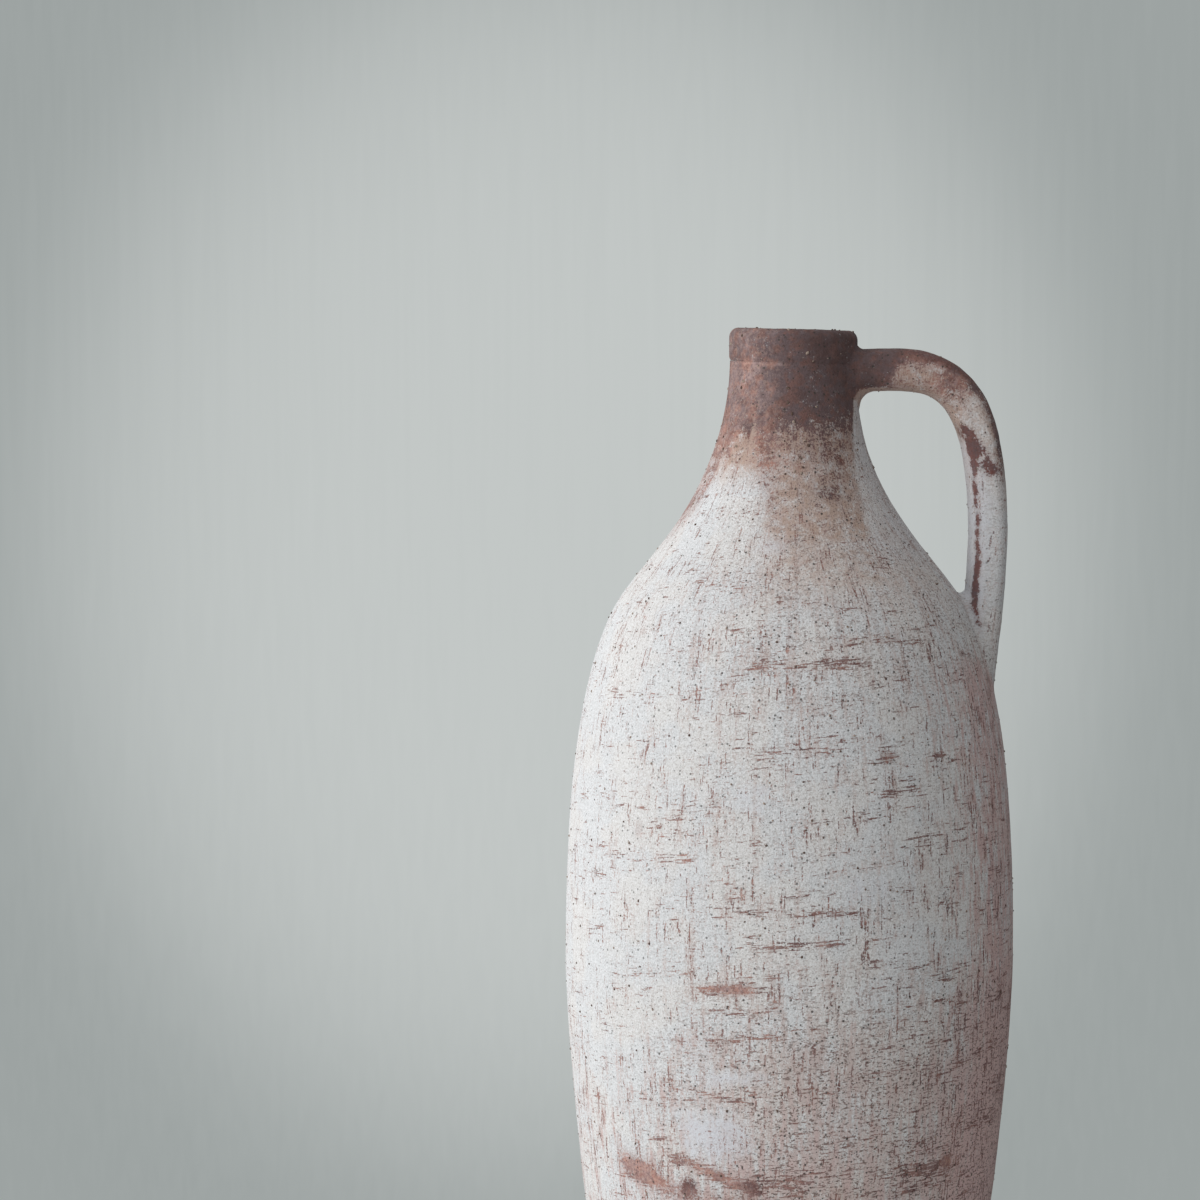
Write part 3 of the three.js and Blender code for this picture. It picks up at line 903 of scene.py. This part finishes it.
def mask_strap(piece, start, end):
    """Masks on the handle or on the clay round a root, laid out along the strap."""
    points = mesh_points(piece)
    count = (len(points) - 2) // STRAP_STEPS
    turn = np.concatenate([np.tile(strap_turns(), count), [0, 0]])
    share = np.concatenate([np.repeat(np.linspace(start, end, count), STRAP_STEPS), [start, end]])
    masks = strap_masks(points, turn)
    clear, _ = off_body(points)
    on_body = smooth(LUTE_BLEND, 0, clear)
    azimuth, height, radius = round_axis(points)
    for name, values in body_masks(np.degrees(azimuth), height, radius).items():
        masks[name] = masks[name] + (values - masks[name]) * on_body
    along = STRAP_START + share * LINE_LENGTH / MM
    half_thick, half_wide = STRAP_ACROSS
    laid_out = np.stack([half_thick * np.cos(turn), half_wide * np.sin(turn), along], axis=1)
    keep_masks(piece, masks, laid_out)


# Finishes. Noise is centred on a half, and the gain spreads it to the ends of its range
NOISE_GAIN = 2.3

# Softness of a spot's edge, as a share of its cell, and how matte every surface is
SPOT_EDGE = 0.05
SPECULAR = 0.25
DIFFUSE_ROUGHNESS = 0.4

# Shades of the bare clay, light and dark, and of the flecks in it
LIGHT_MAUVE = srgb(168, 146, 146)
LIGHT_BUFF = srgb(190, 148, 137)
LIGHT_RED = srgb(184, 134, 120)
DARK_MAUVE = srgb(98, 86, 91)
DARK_BROWN = srgb(116, 86, 82)
DARK_RED = srgb(116, 64, 56)
BURNT = srgb(84, 63, 64)
PALE_FLECK = srgb(204, 176, 162)
DARK_FLECK = srgb(72, 58, 56)

# Shades of the slip, the smudges, specks and pits in it
WARM_WHITE = srgb(222, 222, 221)
COOL_WHITE = srgb(218, 221, 223)
BRIGHT_WHITE = srgb(233, 234, 236)
DULL_WHITE = srgb(186, 184, 182)
BLUISH_WHITE = srgb(219, 222, 229)
TAN = srgb(190, 168, 155)
BUFF_SMUDGE = srgb(198, 182, 177)
MAUVE_SMUDGE = srgb(205, 168, 164)
SPECK = srgb(122, 104, 98)
PIT = srgb(74, 70, 66)

# Shades of the raw terracotta inside, of the grog and of the set
TERRACOTTA = srgb(146, 104, 86)
PALE_TERRACOTTA = srgb(182, 138, 116)
TERRACOTTA_GRIT = srgb(205, 170, 150)
TERRACOTTA_PIT = srgb(92, 66, 56)
DARK_GROG = srgb(96, 78, 70)
BUFF_GROG = srgb(176, 160, 148)
GROG_DUST = srgb(120, 100, 90)
FLOOR_DIM = srgb(196, 199, 197)
FLOOR_PALE = srgb(208, 210, 208)
WALL_PALE = srgb(195, 199.5, 198)
WALL_DIM = srgb(157, 163, 162)
LAMP_WHITE = (1.0, 0.995, 0.99)


class Graph:
    """A node tree and short calls for the nodes that fill it."""

    def __init__(self, tree):
        self.tree = tree
        tree.nodes.clear()

    def put(self, socket, value):
        """Links an output to a socket, or sets the socket's own value."""
        if isinstance(value, bpy.types.NodeSocket):
            self.tree.links.new(value, socket)
        else:
            socket.default_value = value

    def add(self, kind, inputs=None, **settings):
        """A node with its settings and its inputs, which go by name or by number."""
        node = self.tree.nodes.new(kind)
        for key, value in settings.items():
            setattr(node, key, value)
        for key, value in (inputs or {}).items():
            self.put(node.inputs[key], value)
        return node

    def math(self, operation, *values, clamp=False):
        """The result of one step of arithmetic."""
        inputs = dict(enumerate(values))
        return self.add("ShaderNodeMath", inputs, operation=operation, use_clamp=clamp).outputs[0]

    def times(self, first, *others):
        """Values multiplied together."""
        for other in others:
            first = self.math("MULTIPLY", first, other)
        return first

    def most(self, first, *others):
        """The largest of some values."""
        for other in others:
            first = self.math("MAXIMUM", first, other)
        return first

    def summed(self, base, *parts):
        """A base with a share of each part added to it."""
        for value, share in parts:
            base = self.math("MULTIPLY_ADD", value, share, base)
        return base

    def swayed(self, base, *parts):
        """A base moved up and down by a share of each noise."""
        return self.summed(base, *((self.math("SUBTRACT", value, 0.5), share) for value, share in parts))

    def above(self, value, level, softness):
        """0 where a value is under a level, 1 where it is a softness over it."""
        return self.math("DIVIDE", self.math("SUBTRACT", value, level), softness, clamp=True)

    def scaled(self, place, factors):
        """A place stretched by a factor on each axis."""
        return self.add("ShaderNodeVectorMath", {0: place, 1: factors}, operation="MULTIPLY").outputs[0]

    def mix(self, share, first, second):
        """One colour turned into another by a share."""
        node = self.add("ShaderNodeMix", data_type="RGBA", clamp_factor=True)
        colours = [socket for socket in node.inputs if socket.type == "RGBA"]
        self.put(node.inputs[0], share)
        self.put(colours[0], first)
        self.put(colours[1], second)
        return next(socket for socket in node.outputs if socket.type == "RGBA")

    def mixed(self, share, first, second):
        """One shader turned into another by a share."""
        return self.add("ShaderNodeMixShader", {0: share, 1: first.outputs[0], 2: second.outputs[0]})


class Finish(Graph):
    """A material and the textures that it is made of."""

    def __init__(self, name):
        self.material = bpy.data.materials.new(name)
        self.material.use_nodes = True
        super().__init__(self.material.node_tree)
        self.place = self.add("ShaderNodeTexCoord").outputs["Object"]

    def noise(self, size, detail, roughness, place=None):
        """Noise that fills 0 to 1, with features of a size, in the units of the place."""
        inputs = {
            "Vector": place or self.place,
            "Scale": 1 / size,
            "Detail": detail,
            "Roughness": roughness,
        }
        value = self.add("ShaderNodeTexNoise", inputs).outputs["Fac"]
        return self.math("MULTIPLY_ADD", value, NOISE_GAIN, (1 - NOISE_GAIN) / 2, clamp=True)

    def spots(self, size, least, most):
        """Irregular spots, one at most to each cell of a size: 1 in a spot and 0 outside it."""
        cells = self.add("ShaderNodeTexVoronoi", {"Vector": self.place, "Scale": 1 / size}, feature="F1")
        chance = self.add("ShaderNodeSeparateColor", {0: cells.outputs["Color"]}).outputs[0]
        spread = self.summed(least, (chance, most - least))
        inside = self.math("SUBTRACT", spread, cells.outputs["Distance"])
        return self.math("DIVIDE", inside, SPOT_EDGE, clamp=True)

    def showing(self, shader):
        """The material, with this shader on its surface."""
        self.add("ShaderNodeOutputMaterial", {"Surface": shader.outputs[0]})
        return self.material

    def surface(self, colour, roughness, height, depth):
        """Matte surface with this colour and with bumps up to a depth."""
        bump = self.add("ShaderNodeBump", {"Strength": 1.0, "Distance": depth, "Height": height})
        inputs = {
            "Base Color": colour,
            "Roughness": roughness,
            "Specular IOR Level": SPECULAR,
            "Diffuse Roughness": DIFFUSE_ROUGHNESS,
            "Normal": bump.outputs[0],
        }
        return self.showing(self.add("ShaderNodeBsdfPrincipled", inputs))


class BrushedClay(Finish):
    """Slip brushed thin over the clay: rubbed through in broken threads, smudged, pitted and gritty."""

    def __init__(self, name):
        super().__init__(name)
        self.laid_out = self.mask("laid_out", "Vector")
        self.cover = self.mask("cover")
        self.rubbed = self.mask("rubbed")
        self.streaked = self.mask("streaked")
        self.thinned = self.mask("thinned")
        self.patches = self.noise(4.5 * MM, 4, 0.62)
        self.grit = self.noise(0.85 * MM, 2, 0.65)
        self.loose = self.math("SUBTRACT", self.grit, 0.5)
        self.thick = self.above(self.swayed(self.mask("thick"), (self.patches, 0.5)), 0.2, 0.6)
        self.unthick = self.summed(1.0, (self.thick, -0.8))

        # Threads of the brush: rows lie level and streaks stand upright, both in loose groups
        self.rows = self.threads(7, 0.9, 3, 0.65)
        self.streaks = self.threads(1.1, 9, 3, 0.62)
        self.row_groups = self.threads(28, 5, 1, 0.5)
        self.streak_groups = self.threads(7, 24, 1, 0.5)

    def mask(self, name, output="Fac"):
        """A mask kept on the mesh."""
        return self.add("ShaderNodeAttribute", attribute_name=name).outputs[output]

    def threads(self, across, along, detail, roughness):
        """Noise with one size round the jug and another up it, in millimetres."""
        place = self.scaled(self.laid_out, (1 / across, 1 / across, 1 / along))
        return self.noise(1, detail, roughness, place)

    def rubbed_through(self):
        """Threads where the clay shows through, which grit breaks up into stipple."""
        row_level = self.summed(0.94, (self.rubbed, -0.38), (self.row_groups, -0.36))
        streak_level = self.summed(0.91, (self.streaked, -0.15), (self.streak_groups, -0.36))
        in_streaks = self.times(self.above(self.streaks, streak_level, 0.22), 0.85)
        worn = self.most(self.above(self.rows, row_level, 0.2), in_streaks)
        worn = self.times(worn, self.summed(0.5, (self.unthick, 0.5)), 0.9)
        return self.above(self.summed(worn, (self.loose, 1.1)), 0.38, 0.35)

    def given_out(self):
        """Clay past the edge of the slip, where patches of slip break up the same way."""
        edge = self.swayed(0.2, (self.patches, 0.8))
        edge = self.summed(edge, (self.most(self.rows, self.streaks), 0.5), (self.loose, 0.9))
        return self.above(edge, self.summed(-0.4, (self.cover, 1.6)), 0.4)

    def pits(self):
        """Round pits of two sizes, fewer where the slip is thick."""
        fine = self.times(self.spots(1.3 * MM, -0.1, 0.25), 0.7)
        pits = self.times(self.most(self.spots(2.1 * MM, -0.1, 0.26), fine), self.unthick)
        return self.math("MULTIPLY", pits, self.summed(0.65, (self.thinned, 0.4)), clamp=True)

    def clay(self):
        """Bare fired clay, from terracotta and mauve to a dark red-brown, blotched and flecked."""
        charred = self.mask("charred")
        blotches = self.noise(2.6 * MM, 3, 0.65)
        flecks = self.noise(1.1 * MM, 2, 0.6)
        uneven = self.swayed(charred, (self.noise(7 * MM, 3, 0.6), 0.55), (blotches, 0.4), (flecks, 0.5))
        warm = self.above(self.noise(5 * MM, 3, 0.65), 0.42, 0.3)
        red = self.math("MULTIPLY", self.mask("reddened"), self.summed(0.2, (blotches, 1.2)), clamp=True)
        light = self.mix(red, self.mix(warm, LIGHT_MAUVE, LIGHT_BUFF), LIGHT_RED)
        dark = self.mix(red, self.mix(warm, DARK_MAUVE, DARK_BROWN), DARK_RED)
        colour = self.mix(self.above(uneven, 0.15, 0.65), light, dark)
        colour = self.mix(self.above(uneven, 1.15, 0.5), colour, BURNT)
        pale = self.times(self.above(flecks, 0.6, 0.1), self.above(charred, 1.1, -0.8), 0.45)
        colour = self.mix(pale, colour, PALE_FLECK)
        return self.mix(self.times(self.above(flecks, 0.38, -0.12), 0.45), colour, DARK_FLECK)

    def chalk(self):
        """Chalky slip: off-white and mottled, tan where it is stained and bluish where it is thick."""
        mottle = self.noise(0.7 * MM, 2, 0.6)
        colour = self.mix(self.above(self.noise(24 * MM, 2, 0.5), 0.4, 0.2), WARM_WHITE, COOL_WHITE)
        colour = self.mix(self.above(mottle, 0.5, 0.4), colour, BRIGHT_WHITE)
        colour = self.mix(self.times(self.above(mottle, 0.46, -0.3), 0.4), colour, DULL_WHITE)
        uneven = self.summed(0.0, (self.patches, 1.6), (self.loose, 0.8))
        stained = self.math("MULTIPLY", self.mask("stained"), uneven, clamp=True)
        return self.mix(self.times(self.thick, 0.8), self.mix(stained, colour, TAN), BLUISH_WHITE)

    def slip(self):
        """The slip with soft upright smudges where it is thin but whole, and with fine dark specks."""
        smears = self.threads(1.9, 13, 2, 0.55)
        mauve = self.above(self.swayed(self.streaked, (smears, 0.5)), 0.4, 0.6)
        haze = self.summed(
            0.0,
            (self.row_groups, 0.14),
            (self.streak_groups, 0.2),
            (smears, 0.4),
            (self.rows, 0.15),
            (self.rubbed, 0.14),
            (self.thinned, 0.15),
            (self.streaked, 0.16),
            (mauve, 0.22),
            (self.loose, 0.4),
        )
        haze = self.times(self.above(haze, 0.54, 0.36), 0.75, self.unthick)
        colour = self.mix(haze, self.chalk(), self.mix(mauve, BUFF_SMUDGE, MAUVE_SMUDGE))
        fine = self.above(self.threads(1.5, 0.8, 2, 0.6), 0.62, 0.16)
        specks = self.times(fine, self.summed(0.12, (self.thinned, 0.35)), self.unthick)
        return self.mix(specks, colour, SPECK)

    def made(self):
        """The finish as a material. Slip stands on the clay, pits go in, and grit is felt everywhere."""
        veil = self.summed(0.65, (self.cover, -0.65))
        shown = self.most(self.rubbed_through(), self.given_out(), veil)
        pits = self.pits()
        colour = self.mix(self.times(shown, 0.92), self.slip(), self.clay())
        colour = self.mix(self.times(pits, 0.85), colour, PIT)
        height = self.summed(0.5, (shown, -0.3), (pits, -0.6), (self.grit, 0.5), (self.rows, 0.15))
        return self.surface(colour, self.summed(0.93, (shown, -0.08)), height, 0.3 * MM)


def raw_clay():
    """Unglazed terracotta, as inside the jug and under its foot."""
    finish = Finish("raw terracotta")
    grit = finish.noise(0.9 * MM, 2, 0.6)
    patches = finish.above(finish.noise(14 * MM, 4, 0.6), 0.38, 0.25)
    colour = finish.mix(patches, TERRACOTTA, PALE_TERRACOTTA)
    colour = finish.mix(finish.times(finish.above(grit, 0.55, 0.1), 0.6), colour, TERRACOTTA_GRIT)
    colour = finish.mix(finish.spots(4 * MM, 0.0, 0.12), colour, TERRACOTTA_PIT)
    return finish.surface(colour, finish.summed(0.85, (grit, 0.1)), grit, 0.25 * MM)


def grog_finish():
    """Grains of grog: most are dark, and some are buff or dusted with slip."""
    finish = Finish("grog grains")
    fine = finish.noise(0.3 * MM, 1, 0.5)
    kind = finish.above(finish.noise(3.1 * MM, 1, 0.5), 0.5, 0.1)
    colour = finish.mix(finish.times(fine, 0.5), finish.mix(kind, DARK_GROG, BUFF_GROG), GROG_DUST)
    return finish.surface(colour, 0.9, fine, 0.1 * MM)


# Grog grains that stand proud of the clay, scattered by geometry nodes

# What the tree of grains is given, and the kind of each
GRAIN_SETTINGS = {
    "Grains per square metre": "Float",
    "Smallest radius": "Float",
    "Largest radius": "Float",
    "Seed": "Int",
}

# Grains are squashed by chance between these factors
GRAIN_SQUASH = ((0.7, 0.7, 0.6), (1.3, 1.3, 1.0))
GRAIN_FINENESS = 2


def grain_tree(material):
    """Node tree that scatters grains over the faces marked outside."""
    tree = bpy.data.node_groups.new("grog grains", "GeometryNodeTree")
    tree.interface.new_socket("Wall", in_out="INPUT", socket_type="NodeSocketGeometry")
    for name, kind in GRAIN_SETTINGS.items():
        tree.interface.new_socket(name, in_out="INPUT", socket_type="NodeSocket" + kind)
    tree.interface.new_socket("Grains", in_out="OUTPUT", socket_type="NodeSocketGeometry")
    graph = Graph(tree)
    given = graph.add("NodeGroupInput").outputs
    seed = given["Seed"]
    outside = graph.add("GeometryNodeInputNamedAttribute", {"Name": "outside"}, data_type="BOOLEAN")
    places = {
        "Mesh": given["Wall"],
        "Selection": outside.outputs["Attribute"],
        "Density": given["Grains per square metre"],
        "Seed": seed,
    }
    scatter = graph.add("GeometryNodeDistributePointsOnFaces", places)
    grain = graph.add("GeometryNodeMeshIcoSphere", {"Radius": 1.0, "Subdivisions": GRAIN_FINENESS})

    # Each grain has a size, a squash and a turn of its own
    sizes = {2: given["Smallest radius"], 3: given["Largest radius"], "Seed": seed}
    size = graph.add("FunctionNodeRandomValue", sizes, data_type="FLOAT")
    squash = graph.add("FunctionNodeRandomValue", dict(enumerate(GRAIN_SQUASH)), data_type="FLOAT_VECTOR")
    turns = {0: (0, 0, 0), 1: (TAU, TAU, TAU)}
    turn = graph.add("FunctionNodeRandomValue", turns, data_type="FLOAT_VECTOR")
    scaling = {0: squash.outputs[0], "Scale": size.outputs[1]}
    scale = graph.add("ShaderNodeVectorMath", scaling, operation="SCALE")
    instances = {
        "Points": scatter.outputs["Points"],
        "Instance": grain.outputs["Mesh"],
        "Rotation": turn.outputs[0],
        "Scale": scale.outputs[0],
    }
    placed = graph.add("GeometryNodeInstanceOnPoints", instances)
    solid = graph.add("GeometryNodeRealizeInstances", {0: placed.outputs["Instances"]})
    rounded = graph.add("GeometryNodeSetShadeSmooth", {0: solid.outputs[0]})
    painted = graph.add("GeometryNodeSetMaterial", {0: rounded.outputs[0], "Material": material})
    graph.add("NodeGroupOutput", {"Grains": painted.outputs[0]})
    return tree


def grains_on(wall, name, tree, *settings):
    """Grains on a piece, as a plain mesh of their own."""
    carrier = add_object(name, wall.data.copy())
    modifier = carrier.modifiers.new("grains", "NODES")
    modifier.node_group = tree
    values = dict(zip(GRAIN_SETTINGS, settings))
    for item in tree.interface.items_tree:
        if item.name in values:
            modifier[item.identifier] = values[item.name]
    bpy.context.view_layer.update()
    shown = carrier.evaluated_get(bpy.context.evaluated_depsgraph_get())
    grains = bpy.data.meshes.new_from_object(shown)
    carrier.modifiers.remove(modifier)
    carrier.data = grains
    return carrier


# Camera, backdrop, floor and light

# The camera's lens and sensor are in millimetres, its place in metres and its dip in degrees
LENS = 100
SENSOR = 36
CAMERA_PLACE = (-0.0808, -1.413, 0.4804)
CAMERA_DIP = 4.375

# The backdrop is palest round one direction and falls off from it to a flat shade
PALEST = (-0.01, -0.06)
FALL_ACROSS = 0.163
FALL_UP = 0.19
FALL_RATE = 0.8
FALL_LEVELLING = 4.0
WALL_THREADS = (420, 420, 14)
WALL_THREAD_DEPTH = 0.12

# Light comes from the left and a little from the front, by the sky and by a lamp like a window
LIGHT_AZIMUTH = math.radians(-80)
LIGHT_RISE = 0.25
LIGHT_FOCUS = 1.3
SKY_BRIGHT = 1.15
SKY_DIM = 0.06
WINDOW_AZIMUTH = math.radians(-66)
WINDOW_DISTANCE = 1.7
WINDOW_HEIGHT = 0.75
WINDOW_AIM = (0, 0, 0.28)
WINDOW_SIZE = (1.3, 1.5)
WINDOW_POWER = 12

# The floor fades into the backdrop from this far off the axis, over this width
FLOOR_FADE_START = 0.27
FLOOR_FADE = 0.14
FLOOR_RADIUS = 0.42
FLOOR_STEPS = 96


def make_camera():
    """The photo's own view of the jug."""
    data = bpy.data.cameras.new("camera")
    data.lens = LENS
    data.sensor_width = SENSOR
    camera = add_object("camera", data)
    camera.location = CAMERA_PLACE
    camera.rotation_euler = (math.radians(90 - CAMERA_DIP), 0, 0)
    bpy.context.scene.camera = camera


def backdrop(graph, direction):
    """A plain pale wall, dimmer away from its palest place, with faint upright threads as in paper."""
    parts = graph.add("ShaderNodeSeparateXYZ", {0: direction}).outputs
    across = graph.math("DIVIDE", graph.math("SUBTRACT", parts[0], PALEST[0]), FALL_ACROSS)
    up = graph.math("DIVIDE", graph.math("SUBTRACT", parts[2], PALEST[1]), FALL_UP)
    far = graph.math("ADD", graph.times(across, across), graph.times(up, up))
    fall = graph.times(far, far, FALL_RATE)
    levelling = graph.math("ADD", graph.math("POWER", fall, FALL_LEVELLING), 1.0)
    fall = graph.math("DIVIDE", fall, graph.math("POWER", levelling, 1 / FALL_LEVELLING))
    inputs = {"Vector": graph.scaled(direction, WALL_THREADS), "Scale": 1.0, "Detail": 2.0}
    threads = graph.add("ShaderNodeTexNoise", inputs).outputs["Fac"]
    wave = graph.times(graph.math("SUBTRACT", threads, 0.5), WALL_THREAD_DEPTH)
    colour = graph.mix(graph.math("ADD", fall, wave, clamp=True), WALL_PALE, WALL_DIM)
    return graph.add("ShaderNodeBackground", {"Color": colour})


def skylight(graph, direction):
    """Soft light that is strongest from one direction."""
    towards = Vector((math.sin(LIGHT_AZIMUTH), -math.cos(LIGHT_AZIMUTH), LIGHT_RISE)).normalized()
    facing = graph.add("ShaderNodeVectorMath", {0: direction, 1: towards}, operation="DOT_PRODUCT")
    half = graph.times(graph.math("ADD", facing.outputs["Value"], 1.0), 0.5)
    level = graph.times(graph.math("POWER", half, LIGHT_FOCUS), SKY_BRIGHT - SKY_DIM)
    strength = graph.math("ADD", level, SKY_DIM)
    return graph.add("ShaderNodeBackground", {"Color": (*LAMP_WHITE, 1.0), "Strength": strength})


def make_world():
    """Light from the sky, and the backdrop for what the camera sees or sees mirrored."""
    world = bpy.data.worlds.new("studio")
    bpy.context.scene.world = world
    world.use_nodes = True
    graph = Graph(world.node_tree)
    direction = graph.add("ShaderNodeTexCoord").outputs["Generated"]
    rays = graph.add("ShaderNodeLightPath").outputs
    seen = graph.most(rays["Is Camera Ray"], rays["Is Glossy Ray"], rays["Is Transmission Ray"])
    chosen = graph.mixed(seen, skylight(graph, direction), backdrop(graph, direction))
    graph.add("ShaderNodeOutputWorld", {"Surface": chosen.outputs[0]})


def make_window():
    """One large soft lamp on the left, slightly to the front."""
    data = bpy.data.lights.new("window", "AREA")
    data.shape = "RECTANGLE"
    data.size, data.size_y = WINDOW_SIZE
    data.energy = WINDOW_POWER
    data.color = LAMP_WHITE
    lamp = add_object("window", data)
    across = WINDOW_DISTANCE * math.sin(WINDOW_AZIMUTH)
    lamp.location = (across, -WINDOW_DISTANCE * math.cos(WINDOW_AZIMUTH), WINDOW_HEIGHT)
    lamp.rotation_euler = (Vector(WINDOW_AIM) - lamp.location).to_track_quat("-Z", "Y").to_euler()


def make_floor():
    """A pale floor round the foot that fades out into the backdrop."""
    turn = np.arange(FLOOR_STEPS) / FLOOR_STEPS * TAU
    edge = FLOOR_RADIUS * np.stack([np.cos(turn), np.sin(turn), np.zeros(FLOOR_STEPS)], axis=1)
    faces = [(FLOOR_STEPS, step, (step + 1) % FLOOR_STEPS) for step in range(FLOOR_STEPS)]
    mesh = bpy.data.meshes.new("floor")
    mesh.from_pydata([*edge.tolist(), (0, 0, 0)], [], faces)
    floor = add_object("floor", mesh)
    finish = Finish("pale floor")
    apart = finish.add("ShaderNodeVectorMath", {0: finish.place}, operation="LENGTH").outputs["Value"]
    faded = finish.above(apart, FLOOR_FADE_START, FLOOR_FADE)
    colour = finish.mix(finish.noise(3 * MM, 2, 0.55), FLOOR_DIM, FLOOR_PALE)
    matte = finish.add("ShaderNodeBsdfDiffuse", {"Color": colour})
    clear = finish.add("ShaderNodeBsdfTransparent")
    floor.data.materials.append(finish.showing(finish.mixed(faded, matte, clear)))


def finish_inside(piece, outer, inner):
    """One finish on the outside of a piece and another on the rest."""
    piece.data.materials.append(outer)
    piece.data.materials.append(inner)
    outside = np.zeros(len(piece.data.polygons), bool)
    piece.data.attributes["outside"].data.foreach_get("value", outside)
    piece.data.polygons.foreach_set("material_index", np.where(outside, 0, 1).astype(np.int32))


def settle(piece, slot, *nodes):
    """The piece rides on the jug and stands for these nodes. The slot it is given is not used."""
    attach(piece, "root")
    if nodes:
        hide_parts(*nodes)


# The jug, foot to rim and then the handle

make_camera()
make_world()
make_window()
make_floor()
bpy.context.scene.view_settings.view_transform = "Standard"

slip = BrushedClay("brushed slip over clay").made()
neck_clay = BrushedClay("bare neck clay").made()
strap_clay = BrushedClay("worn strap clay").made()
inside_clay = raw_clay()

foot = floor_piece()
lower = wall_piece("lower_wall_skin", FLOOR, BELLY_SEAM, SKIN_STEP)
upper = wall_piece("upper_wall_skin", BELLY_SEAM, NECK_SEAM, SKIN_STEP)
neck = wall_piece("neck_skin", NECK_SEAM, COLLAR_BASE, NECK_STEP)
collar = collar_piece()
for section, outer, slot, node in (
    (foot, slip, "raw_clay", "floor_slab"),
    (lower, slip, "white_slip", "lower_wall"),
    (upper, slip, "white_slip", "upper_wall"),
    (neck, neck_clay, "bare_clay", "neck"),
    (collar, neck_clay, "bare_clay", "rim_collar"),
):
    mask_body(section)
    finish_inside(section, outer, inside_clay)
    settle(section, slot, node)

strap = strap_piece()
upper_lute = lute_piece("upper_root_clay", *UPPER_ROOT, UPPER_LUTE)
lower_lute = lute_piece("lower_root_clay", *LOWER_ROOT, LOWER_LUTE)
for piece, stretch, finish, slot, node in (
    (strap, (0, 1), strap_clay, "worn_slip", "handle"),
    (upper_lute, UPPER_ROOT, neck_clay, "bare_clay", "upper_handle_lute"),
    (lower_lute, LOWER_ROOT, strap_clay, "white_slip", "lower_handle_lute"),
):
    mask_strap(piece, *stretch)
    piece.data.materials.append(finish)
    settle(piece, slot, node)

for coil in ("floor_coil", "belly_coil"):
    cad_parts[coil].data.materials.clear()
    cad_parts[coil].data.materials.append(inside_clay)

# Each row: where the grains lie, their name, grains per square metre, radii, seed and slot
tree = grain_tree(grog_finish())
for wall, name, density, smallest, largest, seed, slot in (
    (lower, "grog_on_lower_wall", 5200, 0.25 * MM, 0.55 * MM, 3, "white_slip"),
    (upper, "grog_on_upper_wall", 5200, 0.25 * MM, 0.55 * MM, 5, "white_slip"),
    (neck, "grog_on_neck", 9000, 0.25 * MM, 0.75 * MM, 7, "bare_clay"),
    (collar, "grog_on_collar", 14000, 0.25 * MM, 0.75 * MM, 11, "bare_clay"),
    (strap, "grog_on_handle", 7000, 0.2 * MM, 0.5 * MM, 13, "worn_slip"),
):
    settle(grains_on(wall, name, tree, density, smallest, largest, seed), slot)
